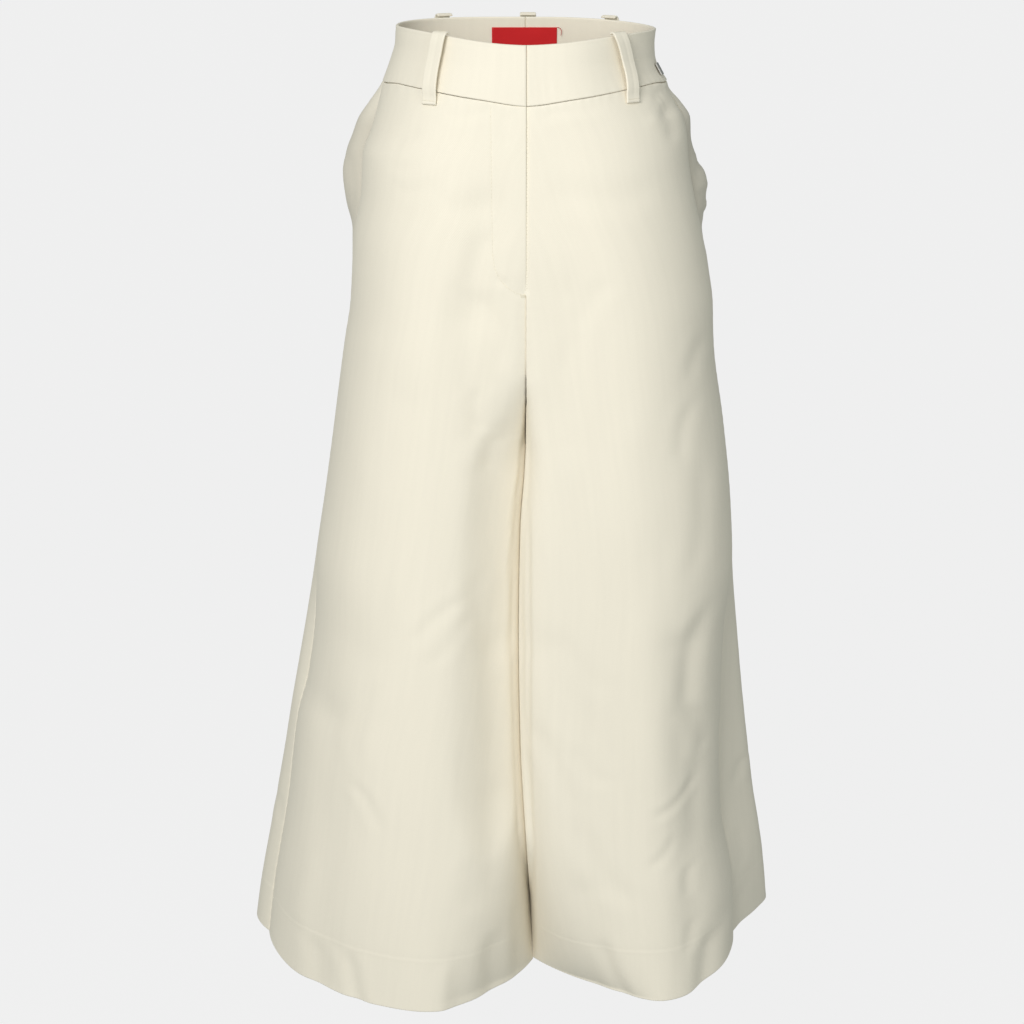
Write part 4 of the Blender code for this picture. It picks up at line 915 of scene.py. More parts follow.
panel_pieces = {}
panel_faces = {}
for half in ("right", "left"):
    make_half(half)


def feed(tree, node, inputs):
    """A node's inputs by name or number: a socket is linked, anything else is a value."""
    for name, value in inputs.items():
        if isinstance(value, bpy.types.NodeSocket):
            tree.links.new(value, node.inputs[name])
        else:
            node.inputs[name].default_value = value


def add_node(tree, kind, inputs, **settings):
    """One shader node with its settings and inputs, set to the right of the last one."""
    node = tree.nodes.new("ShaderNode" + kind)
    node.location = (200 * len(tree.nodes) - 1800, 0)
    for name, value in settings.items():
        setattr(node, name, value)
    feed(tree, node, inputs)
    return node


def multiplied(tree, first, second):
    """The product of two colours, as the output of a Mix node."""
    inputs = {"Factor": 1.0, "A": first, "B": second}
    node = add_node(tree, "Mix", inputs, data_type="RGBA", blend_type="MULTIPLY")
    return node.outputs["Result"]


def new_group(name, given, put_out):
    """A node group with named input and output sockets, and the outputs of its input node."""
    tree = bpy.data.node_groups.new(name, "ShaderNodeTree")
    for direction, sockets in (("INPUT", given), ("OUTPUT", put_out)):
        for label, kind in sockets.items():
            tree.interface.new_socket(label, in_out=direction, socket_type="NodeSocket" + kind)
    return tree, tree.nodes.new("NodeGroupInput").outputs


def twill_weave():
    """Group: steep twill lines crossed by threads, thicker slubs, and slow tone changes.

    Height is the sum of two sets of sine bands, broken up by stretched noise.  Tone is a grey
    factor round 1 that multiplies the cloth's colour.
    """
    tree, given = new_group("twill_weave", {"Place": "Vector", "Pitch": "Float"},
                            {"Height": "Float", "Tone": "Float"})
    place, pitch = given["Place"], given["Pitch"]
    turned = add_node(tree, "Mapping", {"Vector": place, "Rotation": (0, 0, math.radians(62))})
    lines = add_node(tree, "TexWave", {"Vector": turned.outputs[0], "Scale": pitch,
                                       "Distortion": 1.4, "Detail": 2.0, "Detail Scale": 1.5})
    threads = add_node(tree, "TexWave", {"Vector": place, "Scale": pitch, "Distortion": 1.0})
    noises = []
    for stretch, detail in (((260, 1500, 1), 3.0), ((150, 9, 1), 4.0)):
        stretched = add_node(tree, "Mapping", {"Vector": place, "Scale": stretch})
        noise = add_node(tree, "TexNoise", {"Vector": stretched.outputs[0], "Scale": 1.0,
                                            "Detail": detail})
        noises.append(noise.outputs["Fac"])
    slubs, slow = noises
    cross = add_node(tree, "Math", {0: threads.outputs["Fac"], 1: 0.5, 2: lines.outputs["Fac"]},
                     operation="MULTIPLY_ADD")
    rough = add_node(tree, "Math", {0: cross.outputs[0], 1: slubs}, operation="ADD").outputs[0]
    fine = add_node(tree, "MapRange", {"Value": rough, "From Min": 0.6, "From Max": 1.9,
                                       "To Min": 0.97, "To Max": 1.03})
    wide = add_node(tree, "MapRange", {"Value": slow, "From Min": 0.3, "From Max": 0.7,
                                       "To Min": 0.988, "To Max": 1.01})
    tone = add_node(tree, "Math", {0: fine.outputs[0], 1: wide.outputs[0]},
                    operation="MULTIPLY")
    feed(tree, tree.nodes.new("NodeGroupOutput"), {"Height": rough, "Tone": tone.outputs[0]})
    return tree


def mouth_painted_shade():
    """Group: painted shade on the pocket mouth's facing strip: 1 - share, scaled down to the
    shade's tone, where share is 1 on that strip.

    share = a fall over the distance from the seam, times a window over the height.
    """
    tree, given = new_group("mouth_painted_shade", {"Place": "Vector"}, {"Tone": "Float"})
    axes = add_node(tree, "SeparateXYZ", {0: given["Place"]})
    share = 1.0
    for axis, start, end in ((0, 0.060, 0.018), (1, 0.055, 0.095), (1, 0.205, 0.165)):
        ramp = add_node(tree, "MapRange", {"Value": axes.outputs[axis], "From Min": start,
                                           "From Max": end}, interpolation_type="SMOOTHSTEP")
        share = add_node(tree, "Math", {0: ramp.outputs[0], 1: share},
                         operation="MULTIPLY").outputs[0]
    # painted shade: the tone falls from 1 to the shade's tone on the facing strip
    tone = add_node(tree, "MapRange", {"Value": share, "To Min": 1.0, "To Max": PAINTED_SHADE_TONE})
    feed(tree, tree.nodes.new("NodeGroupOutput"), {"Tone": tone.outputs[0]})
    return tree


def new_material(name, color):
    """An empty node material, its tree and its shader."""
    material = bpy.data.materials.new(name)
    material.use_nodes = True
    material.diffuse_color = color
    return material, material.node_tree, material.node_tree.nodes["Principled BSDF"]


def woven_cloth(name, color, pitch, bump, roughness, sheen, sheen_tint, facing=None):
    """A matt woven cloth whose threads follow the piece's own cloth layout."""
    material, tree, shader = new_material(name, color)
    layout = add_node(tree, "UVMap", {}, uv_map="cloth").outputs["UV"]
    weave = add_node(tree, "Group", {"Place": layout, "Pitch": pitch}, node_tree=WEAVE)
    dye = multiplied(tree, color, weave.outputs["Tone"])
    # painted shade: with a facing group given, the colour is darkened on the pocket mouth's facing
    # strip
    if facing:
        strip = add_node(tree, "Group", {"Place": layout}, node_tree=facing)
        dye = multiplied(tree, dye, strip.outputs["Tone"])
    relief = add_node(tree, "Bump", {"Strength": bump, "Distance": 0.12 * MM,
                                     "Height": weave.outputs["Height"]})
    feed(tree, shader, {
        "Base Color": dye, "Normal": relief.outputs["Normal"], "Roughness": roughness,
        "Specular IOR Level": 0.25, "Sheen Weight": sheen, "Sheen Roughness": 0.6,
        "Sheen Tint": sheen_tint})
    return material


PAINTED_SHADE_TONE = 0.80           # painted shade: how far the facing strip at the pocket mouth is darkened, standing in for the shade it lies in
WEAVE = twill_weave()
CREAM_LOOK = ((0.87, 0.81, 0.69, 1.0), 330.0, 0.5, 0.88, 0.12, (1.0, 0.98, 0.93, 1.0))
cream_twill = woven_cloth("cream_twill", *CREAM_LOOK)
# the back panels' twill has painted shade on the facing strip at the pocket mouth
twill_painted_shade = woven_cloth("twill_painted_shade", *CREAM_LOOK, facing=mouth_painted_shade())
for panel, piece in panel_pieces.items():
    face, side = panel.split("_")
    piece.data.materials.append(twill_painted_shade if face == "back" else cream_twill)

# ---- Waistband -----------------------------------------------------------------------------
# Two shaped halves of doubled cotton with a stiffener, sewn to the panels' top edges, joined
# at centre back and parted at centre front, where the right end laps over the left one.
RIM_DIP = 9.5 * MM           # how far the top edge dips at centre front
RIM_HALF_WIDTH = 118.5 * MM
RIM_TILT = 3 * MM            # the top edge hangs this much lower at the wearer's left side
BAND_WALL = 3.0 * MM
BAND_PROUD = 0.5 * MM        # how far the band stands out from the panels
BAND_ROUND = 1.35 * MM       # roundness of its folded edges
BAND_COLUMNS = 170
BAND_ROWS = 34
BAND_EDGE_STEPS = np.array([0.0, 0.12, 0.4, 0.8, 1.35, 2.2]) * MM
BAND_MIDDLE_Z = -28 * MM
BAND_LAYOUT_DROP = 5.0       # keeps the band's cloth layout clear of the panels' layout
# short upright puckers pressed in beside the front split: x, depth and half height, in mm
BAND_PUCKERS = [(7, 0.35, 16), (13, 0.3, 11), (19.5, 0.45, 14), (28, 0.2, 12), (-9, 0.2, 13),
                (-17, 0.15, 10)]


def rim_z(x, y):
    """Height of the top edge: level, with a soft dip at the front and a tilt to the left."""
    dip = smooth_step(1 - np.abs(x) / RIM_HALF_WIDTH)
    tilt = np.clip(x / RIM_HALF_WIDTH, 0, 1) ** 2
    return -RIM_DIP * dip * (y < 0) - RIM_TILT * tilt


def band_line(side, parts, heights, face):
    """One face of the half band at the given parts and heights."""
    curve = front_curve if face == "front" else back_curve
    x, y = curve(side, heights, parts)
    return np.stack([x, y, heights], axis=-1)


def band_columns(side):
    """Parts of the front and back section that lie at even distances round the half band."""
    found = []
    for curve, last in ((front_curve, 2), (back_curve, 3)):
        parts = np.linspace(0, last, 900)
        x, y = curve(side, np.full_like(parts, BAND_MIDDLE_Z), parts)
        found.append((parts, travelled(np.stack([x, y], axis=-1)[None])[0]))
    (front_parts, front_run), (back_parts, back_run) = found
    total = front_run[-1] + back_run[-1]
    edge = NEAR_SEAM[:7]
    middle = np.linspace(edge[-1], total - edge[-1], BAND_COLUMNS - 12)
    places = np.concatenate((edge[:-1], middle, total - edge[:-1][::-1]))
    in_front = places < front_run[-1]
    front = np.interp(front_run[-1] - places[in_front], front_run, front_parts)
    back = np.interp(places[~in_front] - front_run[-1], back_run, back_parts)
    return front, back, places, total


def make_band(side):
    """Half the waistband: heights from rim to seam on each column, both faces rounded off."""
    front, back, places, total = band_columns(side)
    edge = BAND_EDGE_STEPS
    share = np.linspace(0, 1, BAND_ROWS - 12)[:, None]
    faces = []
    for face, parts in (("front", front), ("back", back)):
        heights = np.full((1, len(parts)), BAND_MIDDLE_Z)
        flat = band_line(side, parts[None], heights, face)[0]
        side_y = -1.0 if face == "front" else 1.0
        top = rim_z(flat[:, 0], side_y)[None]
        foot = waist_seam_z(flat[:, 0], side_y)[None]
        foot = waist_seam_z(band_line(side, parts[None], foot, face)[..., 0], side_y) + 0.1 * MM
        middle = (top - edge[-1]) + ((foot + edge[-1]) - (top - edge[-1])) * share
        rows = np.concatenate((top - edge[:-1, None], middle, foot + edge[:-1][::-1, None]))
        grid = band_line(side, np.broadcast_to(parts[None], rows.shape), rows, face)
        faces.append((grid, top - rows, rows - foot))
    grid = np.concatenate([face[0] for face in faces], axis=1)
    from_top = np.concatenate([face[1] for face in faces], axis=1)
    from_foot = np.concatenate([face[2] for face in faces], axis=1)
    grid = softened(grid, 3)
    out = grid_normals(grid, -SIGN[side])
    out[..., 2] = 0.0
    out[:, [0, -1], 0] = 0.0
    out = unit(out)
    in_front = grid[..., 1] < 0
    lap = np.where(in_front, smooth_step(1 - np.abs(grid[..., 0]) / FLY_EASE), 0.0)
    from_centre = np.broadcast_to(places[None], from_top.shape)
    from_back = total - from_centre
    rounding = np.zeros_like(from_top)
    for distance in (from_top, from_foot, from_centre, from_back):
        rounding = np.maximum(rounding, dropped_edge(distance, BAND_ROUND))
    free = smooth_step(np.minimum(from_top, from_foot) / (9 * MM))
    dent = np.zeros_like(from_top)
    for x, deep, reach in BAND_PUCKERS:
        if (x > 0) == (side == "left"):
            upright = bell(from_foot - 9 * MM, reach * MM)
            slant = grid[..., 0] - x * MM + 0.12 * (from_foot - 12 * MM)
            dent += deep * MM * upright * bell(slant, 1.8 * MM) * in_front
    run = from_centre
    wave = 0.10 * np.sin(run * 75 + 0.7 * np.sin(run * 31)) + 0.07 * np.sin(run * 160 + 1.3)
    dent += wave * MM * free
    dent += 0.22 * MM * bell(from_top - 3.2 * MM, 1.5 * MM)
    dent += seam_puckers(run, from_foot, 0.4) * 1.2
    proud = BAND_PROUD + (FLY_PROUD * lap if side == "right" else 0.0)
    outer = kept_on_side(side, grid + out * (proud - rounding - dent)[..., None])
    depth = BAND_PROUD - BAND_WALL + rounding
    inner = kept_on_side(side, grid + out * depth[..., None])
    return outer, inner, out, from_centre, from_top


band_faces = {}
for half in ("right", "left"):
    outer, inner, out, across, down = make_band(half)
    band_faces[half] = (outer, inner, out)
    band = cloth_piece("band_" + half, outer, inner, SIGN[half] * across,
                       down + BAND_LAYOUT_DROP, half == "right")
    band.data.materials.append(cream_twill)
    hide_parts("waistband_" + half)

# ---- Fly -----------------------------------------------------------------------------------
# A closed zip with its slider at the top behind the lapped fronts, a plain cloth shield behind
# it, and the J-shaped row of stitches that holds the right front's facing.
ZIP_WALL = 1.0 * MM
ZIP_HALF_WIDTH = 12 * MM
SHIELD_HALF_WIDTH = 21 * MM
SHIELD_WALL = 1.3 * MM
FLY_TOP_Z = BAND_SIDE_Z - SEAM_DIP - 1.5 * MM
TOOTH_PITCH = 1.6 * MM
STITCH_PITCH = 3.2 * MM
THREAD_RADIUS = 0.2 * MM
STRIP_GAP = 0.3 * MM


def front_depth(x, z):
    """Y of the fronts' outer face near centre front, read off one fine section per height."""
    parts = np.linspace(2, 0.6, 90)
    rows = []
    for x_row, z_row in zip(x, z):
        line_x, line_y = front_curve("left", np.full_like(parts, z_row[0]), parts)
        rows.append(np.interp(np.abs(x_row), np.abs(line_x), line_y))
    return np.array(rows)


def fly_strip(name, half_width, end_z, depth, thickness, columns, rows):
    """A flat strip behind the fly at one depth behind the fronts' face, its edges rounded."""
    across = np.linspace(-half_width, half_width, columns)
    down = np.linspace(FLY_TOP_Z, end_z, rows)
    x, z = np.meshgrid(across, down)
    edge = np.minimum(np.minimum(half_width - np.abs(x), FLY_TOP_Z - z), z - end_z)
    rounding = dropped_edge(edge, 0.45 * thickness)
    y = front_depth(x, z) + depth
    outer = np.stack([x, y - thickness / 2 + rounding, z], axis=-1)
    inner = np.stack([x, y + thickness / 2 - rounding, z], axis=-1)
    return cloth_piece(name, outer, inner, x, -z + 7.0, True)


def small_solids(name, profile, middles, along, across, out):
    """Copies of one small closed grid, each turned to its own along, across and out axes."""
    rows, cols = profile.shape[:2]
    index = np.arange(rows * cols).reshape(rows, cols)
    ring = np.concatenate((index, index[:, :1]), axis=1)
    cells = np.stack([ring[:-1, :-1], ring[:-1, 1:], ring[1:, 1:], ring[1:, :-1]], axis=-1)
    caps = []
    for line, turn in ((index[0], 1), (index[-1], -1)):
        half = cols // 2
        near, far = line[:half], line[::-1][:half]
        cap = np.stack([near[:-1], far[:-1], far[1:], near[1:]], axis=-1)
        caps.append(cap[:, ::turn])
    cells = np.concatenate([cells.reshape(-1, 4)] + caps)
    axes = np.stack([along, across, out], axis=1)
    points = middles[:, None] + profile.reshape(1, -1, 3) @ axes
    offset = np.arange(len(middles))[:, None, None] * rows * cols
    return new_piece(name, points.reshape(-1, 3), (cells[None] + offset).reshape(-1, 4),
                     points.reshape(-1, 3)[:, [0, 2]])


def stitch_profile(length, radius):
    """A short thread: rings of eight points, thick in the middle and sunk at both ends."""
    t = np.linspace(-1, 1, 7)[:, None]
    turn = np.linspace(0, 2 * math.pi, 8, endpoint=False)[None]
    thick = radius * np.sqrt(np.clip(1.02 - t ** 4, 0.02, 1))
    lift = 0.5 * radius - radius * t ** 2
    along = np.broadcast_to(t * length / 2, (7, 8))
    return np.stack([along, thick * np.cos(turn), lift + thick * np.sin(turn)], axis=-1)


def on_cloth(points, normals, x, z):
    """Points and normals of a grid at x and z: the nearest one, slid along its own plane."""
    points, normals = points.reshape(-1, 3), normals.reshape(-1, 3)
    away = (points[:, 0] - x[:, None]) ** 2 + (points[:, 2] - z[:, None]) ** 2
    nearest = np.argmin(away, axis=1)
    base, out = points[nearest], normals[nearest]
    slide = out[:, 0] * (x - base[:, 0]) + out[:, 2] * (z - base[:, 2])
    return np.stack([x, base[:, 1] - slide / out[:, 1], z], axis=-1), out


def thread_row(name, middles, out, length, radius, along=None):
    """Stitches end to end along a row of places on the cloth, lying flat on it."""
    if along is None:
        along = np.gradient(middles, axis=0)
    along = unit(along - out * np.sum(along * out, axis=1, keepdims=True))
    across = np.cross(out, along)
    piece = small_solids(name, stitch_profile(length, radius), middles, along, across, out)
    piece.data.materials.append(cream_thread)
    return piece


def plain_finish(name, color, roughness, metallic, scale, bump, spread):
    """Thread or metal: fine noise in its colour, gloss and height."""
    material, tree, shader = new_material(name, color)
    place = add_node(tree, "TexCoord", {}).outputs["Object"]
    grain = add_node(tree, "TexNoise", {"Vector": place, "Scale": scale, "Detail": 3.0})
    grain = grain.outputs["Fac"]
    dark = tuple(value * (1 - spread) for value in color[:3]) + (1.0,)
    dye = add_node(tree, "Mix", {"Factor": grain, "A": dark, "B": color}, data_type="RGBA")
    gloss = add_node(tree, "MapRange", {"Value": grain, "To Min": roughness - 0.06,
                                        "To Max": roughness + 0.06})
    relief = add_node(tree, "Bump", {"Strength": bump, "Distance": 0.05 * MM, "Height": grain})
    feed(tree, shader, {"Metallic": metallic, "Base Color": dye.outputs["Result"],
                        "Roughness": gloss.outputs[0], "Normal": relief.outputs["Normal"]})
    return material


cream_thread = plain_finish("cream_thread", (0.86, 0.80, 0.66, 1.0), 0.7, 0.0, 2500, 0.4, 0.12)
bare_metal = plain_finish("bare_metal", (0.50, 0.49, 0.47, 1.0), 0.52, 1.0, 900, 0.15, 0.1)
zip_cloth = woven_cloth("zip_cloth", (0.72, 0.66, 0.53, 1.0), 420.0, 0.4, 0.85, 0.05,
                        (1.0, 0.97, 0.9, 1.0))

zip_depth = WALL + 0.66 * MM + ZIP_WALL / 2
zip_tape = fly_strip("zip_tape", ZIP_HALF_WIDTH, FLY_END_Z - 4 * MM, zip_depth,
                     ZIP_WALL, 21, 60)
zip_tape.data.materials.append(zip_cloth)
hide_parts("zip")
shield = fly_strip("shield", SHIELD_HALF_WIDTH, FLY_END_Z - 9 * MM,
                   zip_depth + ZIP_WALL / 2 + STRIP_GAP + SHIELD_WALL / 2, SHIELD_WALL, 33, 60)
shield.data.materials.append(cream_twill)
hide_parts("fly_shield")

tooth_z = np.arange(FLY_TOP_Z - 12 * MM, FLY_END_Z, -TOOTH_PITCH)
tooth_x = np.where(np.arange(len(tooth_z)) % 2 == 0, -0.5, 0.5) * MM
tooth_y = front_depth(tooth_x[:, None], tooth_z[:, None])[:, 0] + zip_depth - ZIP_WALL * 0.55
count = len(tooth_z)
teeth = small_solids(
    "zip_teeth", stitch_profile(3.0 * MM, 0.5 * MM),
    np.stack([tooth_x, tooth_y, tooth_z], axis=-1), np.tile([1.0, 0, 0], (count, 1)),
    np.tile([0, 0, 1.0], (count, 1)), np.tile([0, -1.0, 0], (count, 1)))
teeth.data.materials.append(zip_cloth)


def flat_block(length, width, thick):
    """A block with rounded ends: rings whose size follows the fourth root of 1 - t^8."""
    t = np.linspace(-1, 1, 9)[:, None]
    turn = np.linspace(0, 2 * math.pi, 12, endpoint=False)[None]
    size = (1.02 - t ** 8) ** 0.25
    ring = [np.sign(wave) * np.abs(wave) ** 0.5 for wave in (np.cos(turn), np.sin(turn))]
    along = np.broadcast_to(t * length / 2, (9, 12))
    return np.stack([along, size * ring[0] * width / 2, size * ring[1] * thick / 2], axis=-1)


for name, size, below, behind in (("zip_slider", (9, 6.5, 1.6), 6, 1.1),
                                 ("zip_pull", (15, 4, 0.6), 17, 1.1)):
    z = FLY_TOP_Z - below * MM
    y = front_depth(np.array([[0.0]]), np.array([[z]]))[0, 0] + zip_depth + behind * MM
    part = small_solids(name, flat_block(*(value * MM for value in size)),
                        np.array([[0.0, y, z]]), np.array([[0, 0.0, 1.0]]),
                        np.array([[1.0, 0, 0]]), np.array([[0, 1.0, 0]]))
    part.data.materials.append(bare_metal)

line = np.array(FLY_STITCH_LINE)[:, [0, 0, 1]] * MM
run = travelled(line[None])[0]
even = np.arange(STITCH_PITCH / 2, run[-1], STITCH_PITCH)
stitch_x = np.interp(even, run, line[:, 0])
stitch_z = np.interp(even, run, line[:, 2])
outer, out, _ = panel_faces["front_right"]
middles, facing = on_cloth(outer, out, stitch_x, stitch_z)
thread_row("fly_stitches", middles, facing, STITCH_PITCH * 0.82, THREAD_RADIUS)
bar_z = FLY_END_Z + np.linspace(-1.2, 1.2, 7) * MM
middles, facing = on_cloth(outer, out, np.full(7, -3.0 * MM), bar_z)
thread_row("fly_bartack", middles, facing, 5.5 * MM, 0.24 * MM,
           np.tile([1.0, 0.0, 0.0], (7, 1)))

# ---- Side pockets --------------------------------------------------------------------------
# A thin cotton bag behind each side seam, lapped behind the back panel's edge and hanging
# behind the front.  The seam is left open as the mouth, which gapes.
POCKET_END_Z = -262 * MM
POCKET_REACH = 78 * MM
POCKET_TUCK = 45 * MM
POCKET_NARROW = 0.35
POCKET_SLACK = 0.3
POCKET_LAP = 6 * MM
POCKET_WALL = 1.0 * MM
POCKET_CLEAR = 0.9 * MM
POCKET_ROOM = 8.5 * MM


def pocket_grid(side):
    """Rows from the back panel's edge across the mouth and in behind the front panel."""
    lie = WALL + SEAM_GAP + POCKET_WALL / 2 + POCKET_CLEAR
    sign = SIGN[side]
    levels = np.linspace(BAND_SIDE_Z - 0.9 * MM, POCKET_END_Z, 72)
    front = section_lines(front_curve, side, levels, np.linspace(0, 2, 161))
    back = section_lines(back_curve, side, levels, np.linspace(0, 2, 161))
    tuck = smooth_step((POCKET_END_Z + POCKET_TUCK - levels) / POCKET_TUCK)[:, None]
    reach = np.linspace(0.14, 1.0, 26)[None]
    line = along_rows(front, reach * POCKET_REACH * (1 - POCKET_NARROW * tuck))
    tangent = np.abs(np.gradient(line, axis=1))
    flat = np.zeros(line.shape[:2])
    inward = unit(np.stack([-sign * tangent[..., 1], tangent[..., 0], flat], axis=-1))
    bulge = POCKET_SLACK + (1 - POCKET_SLACK) * mouth(levels)[:, None]
    bulge = bulge * np.cos(math.pi / 2 * reach)
    room = lie + (POCKET_ROOM - lie) * bulge + fold_depth("front_" + side, line)
    line = line + inward * room[..., None]
    lap = along_rows(back, np.full((len(levels), 1), POCKET_LAP))
    edge_run = unit(lap - back[:, :1])
    edge_in = sign * np.stack([-edge_run[..., 1], edge_run[..., 0], 0 * edge_run[..., 0]], axis=-1)
    seam = back[:, :1] + edge_in * lie
    past = seam - edge_run * POCKET_LAP / 2
    lap = lap + edge_in * (lie + POCKET_CLEAR)
    rows = np.concatenate((lap, seam, past, line), axis=1)
    count = 44
    length = travelled(rows)[:, -1:]
    return softened(along_rows(rows, np.linspace(0, 1, count)[None] * length), 1)


pocket_cloth = woven_cloth("pocket_cloth", (0.80, 0.73, 0.58, 1.0), 420.0, 0.35, 0.9, 0.05,
                           (1.0, 0.97, 0.9, 1.0))
for half in ("right", "left"):
    grid = pocket_grid(half)
    out = grid_normals(grid, -SIGN[half])
    across = travelled(grid)
    down = -grid[..., 2] + 9.0
    edge = np.minimum(across, across[:, -1:] - across)
    edge = np.minimum(edge, grid[..., 2] - POCKET_END_Z)
    rounding = dropped_edge(edge, 0.45 * POCKET_WALL)
    crumple = 0.25 * MM * np.sin(across * 190 + 60 * grid[..., 2]) * smooth_step(edge / 0.01)
    outer = grid + out * (POCKET_WALL / 2 - rounding + crumple)[..., None]
    inner = grid - out * (POCKET_WALL / 2 - rounding - crumple)[..., None]
    bag = cloth_piece("pocket_bag_" + half, outer, inner, across, down, half == "right")
    bag.data.materials.append(pocket_cloth)
    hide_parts("pocket_" + half)

# ---- Belt loops ----------------------------------------------------------------------------
# Five folded straps of the same cotton, caught over the rim, standing clear of the band, with
# their feet turned under and tacked just below the waist seam.
LOOP_WIDTH = 15.2 * MM
LOOP_WALL = 2.0 * MM
LOOP_ROUND = 0.9 * MM
LOOP_EDGE_STEPS = np.array([0, 0.15, 0.4, 0.75, 1.2, 2.0]) * MM
# name, face, X of its top and of its foot, room behind it
LOOPS = [
    ("belt_loop_front_right", "front", -74, -83.5, 5.0),
    ("belt_loop_front_left", "front", 80, 91.5, 5.0),
    ("belt_loop_back_right", "back", -75.5, -83, 5.0),
    ("belt_loop_back_left", "back", 77.5, 85, 5.0),
    ("belt_loop_back_centre", "back", 2.3, 2.3, 6.0),
]


def band_frame(face, x, z):
    """A point of the outer surface at x and z, and its outward direction in plan."""
    side = "right" if x < 0 else "left"
    curve, last = (front_curve, 2) if face == "front" else (back_curve, 3)
    parts = np.linspace(1 if face == "back" else 0, last, 400)
    line_x, line_y = curve(side, np.full_like(parts, z), parts)
    here = int(np.argmin(np.abs(line_x - x)))
    before, after = max(here - 4, 0), min(here + 4, len(parts) - 1)
    run = np.array([line_x[after] - line_x[before], line_y[after] - line_y[before], 0.0])
    outward = unit(np.array([-run[1], run[0], 0.0]))
    if outward[1] * (1 if face == "back" else -1) < 0:
        outward = -outward
    return np.array([line_x[here], line_y[here], z]), outward


def loop_path(face, top_x, foot_x, room):
    """The strap's middle line, from the rim's top over and down to the foot, and outward."""
    far = room + 1.0
    over = [(-1.6, 1.3), (-1.4, 2.2), (0.2, 3.2), (2.4, 3.3), (far - 1.4, 1.9), (far - 0.2, -0.8)]
    along = [(far, 0.9), (far, 0.7), (far, 0.5), (far - 0.1, 0.3), (far - 0.5, 0.12)]
    under = [(far - 1.4, 0.0), (3.0, -3.0), (2.2, -5.5), (1.9, -8.2), (1.9, -11.0)]
    side_y = 1.0 if face == "back" else -1.0
    rim = float(rim_z(top_x * MM, side_y))
    seam = float(waist_seam_z(foot_x * MM, side_y))
    top_point, top_out = band_frame(face, top_x * MM, -3 * MM)
    path, outs = [], []
    for out, height in over:
        path.append(np.append((top_point + top_out * out * MM)[:2], rim + height * MM))
        outs.append(top_out)
    for out, share in along:
        z = seam + (rim - seam) * share
        point, outward = band_frame(face, (foot_x + (top_x - foot_x) * share) * MM, z)
        path.append(point + outward * (out * MM + BAND_PROUD))
        outs.append(outward)
    for out, below in under:
        z = seam + below * MM
        x = (foot_x + (top_x - foot_x) * below / 60) * MM
        point, outward = band_frame(face, x, z)
        path.append(point + outward * out * MM)
        outs.append(outward)
    return np.array(path), np.array(outs)


def spread_across(half, edges, count):
    """Places across a strip: the given steps in from both edges, and even ones between."""
    middle = np.linspace(-half + 3 * MM, half - 3 * MM, count)
    return np.concatenate((-half + edges, middle, half - edges[::-1]))


def make_loop(name, face, top_x, foot_x, room):
    """A strap: straight lines across its width, carried along the softened middle line."""
    path, outs = loop_path(face, top_x, foot_x, room)
    run = travelled(path[None])[0]
    even = np.linspace(0, run[-1], 110)
    line = np.stack([np.interp(even, run, path[:, axis]) for axis in range(3)], axis=-1)
    outward = np.stack([np.interp(even, run, outs[:, axis]) for axis in range(3)], axis=-1)
    line = softened(line[None], 3)[0]
    outward = unit(softened(outward[None], 6)[0])
    across = unit(np.stack([-outward[:, 1], outward[:, 0], 0 * even], axis=-1))
    out = unit(np.cross(np.gradient(line, axis=0), across))
    turn = np.sign(np.sum(out[60] * outward[60]))
    out = out * turn
    half = LOOP_WIDTH / 2
    width = spread_across(half, LOOP_EDGE_STEPS, 9)
    from_side = (half - np.abs(width))[None]
    from_end = np.minimum(even, even[-1] - even)[:, None]
    rounding = np.maximum(dropped_edge(from_side, LOOP_ROUND), dropped_edge(from_end, LOOP_ROUND))
    middle = line[:, None] + across[:, None] * width[None, :, None]
    crease = 0.25 * MM * bell(width[None] - 0.6 * MM, 1.1 * MM) * smooth_step(from_end / 0.012)
    tack = np.zeros_like(rounding)
    for place in (even[-1] - 3.0 * MM, 4.5 * MM):
        tack = tack + 0.3 * MM * bell(even[:, None] - place, 0.9 * MM)
    lift = LOOP_WALL / 2 - rounding - crease - tack
    outer = middle + out[:, None] * lift[..., None]
    inner = middle - out[:, None] * (LOOP_WALL / 2 - rounding)[..., None]
    spread = np.broadcast_to(width[None], rounding.shape)
    down = np.broadcast_to(even[:, None], rounding.shape)
    strap = cloth_piece(name + "_strap", outer, inner, spread, down + 11.0, turn < 0)
    strap.data.materials.append(cream_twill)
    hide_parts(name)
    tacks = []
    for place in (len(even) - 6, 7):
        steps = np.linspace(-5.6, 5.6, 9) * MM
        at = line[place] + across[place] * steps[:, None] + out[place] * (LOOP_WALL / 2 - 0.2 * MM)
        facing = np.tile(out[place], (9, 1))
        tacks.append((at, facing, np.tile(across[place], (9, 1))))
    middles, facing, along = (np.concatenate([tack[k] for tack in tacks]) for k in range(3))
    bars = thread_row(name + "_bartacks", middles, facing, 1.5 * MM, THREAD_RADIUS, along)


for loop_row in LOOPS:
    make_loop(*loop_row)

# ---- Label ---------------------------------------------------------------------------------
# A bare red woven label with turned-under ends, sewn inside the back waistband, with a loose
# end of red thread at its upper corner.
LABEL_WIDTH = 61 * MM
LABEL_HEIGHT = 28 * MM
LABEL_TOP_Z = -9.8 * MM
LABEL_X = -1 * MM
LABEL_WALL = 0.8 * MM
LABEL_MIDDLE_Z = -26 * MM
BAND_LEAN = 0.2              # the back band runs out this much for each millimetre down

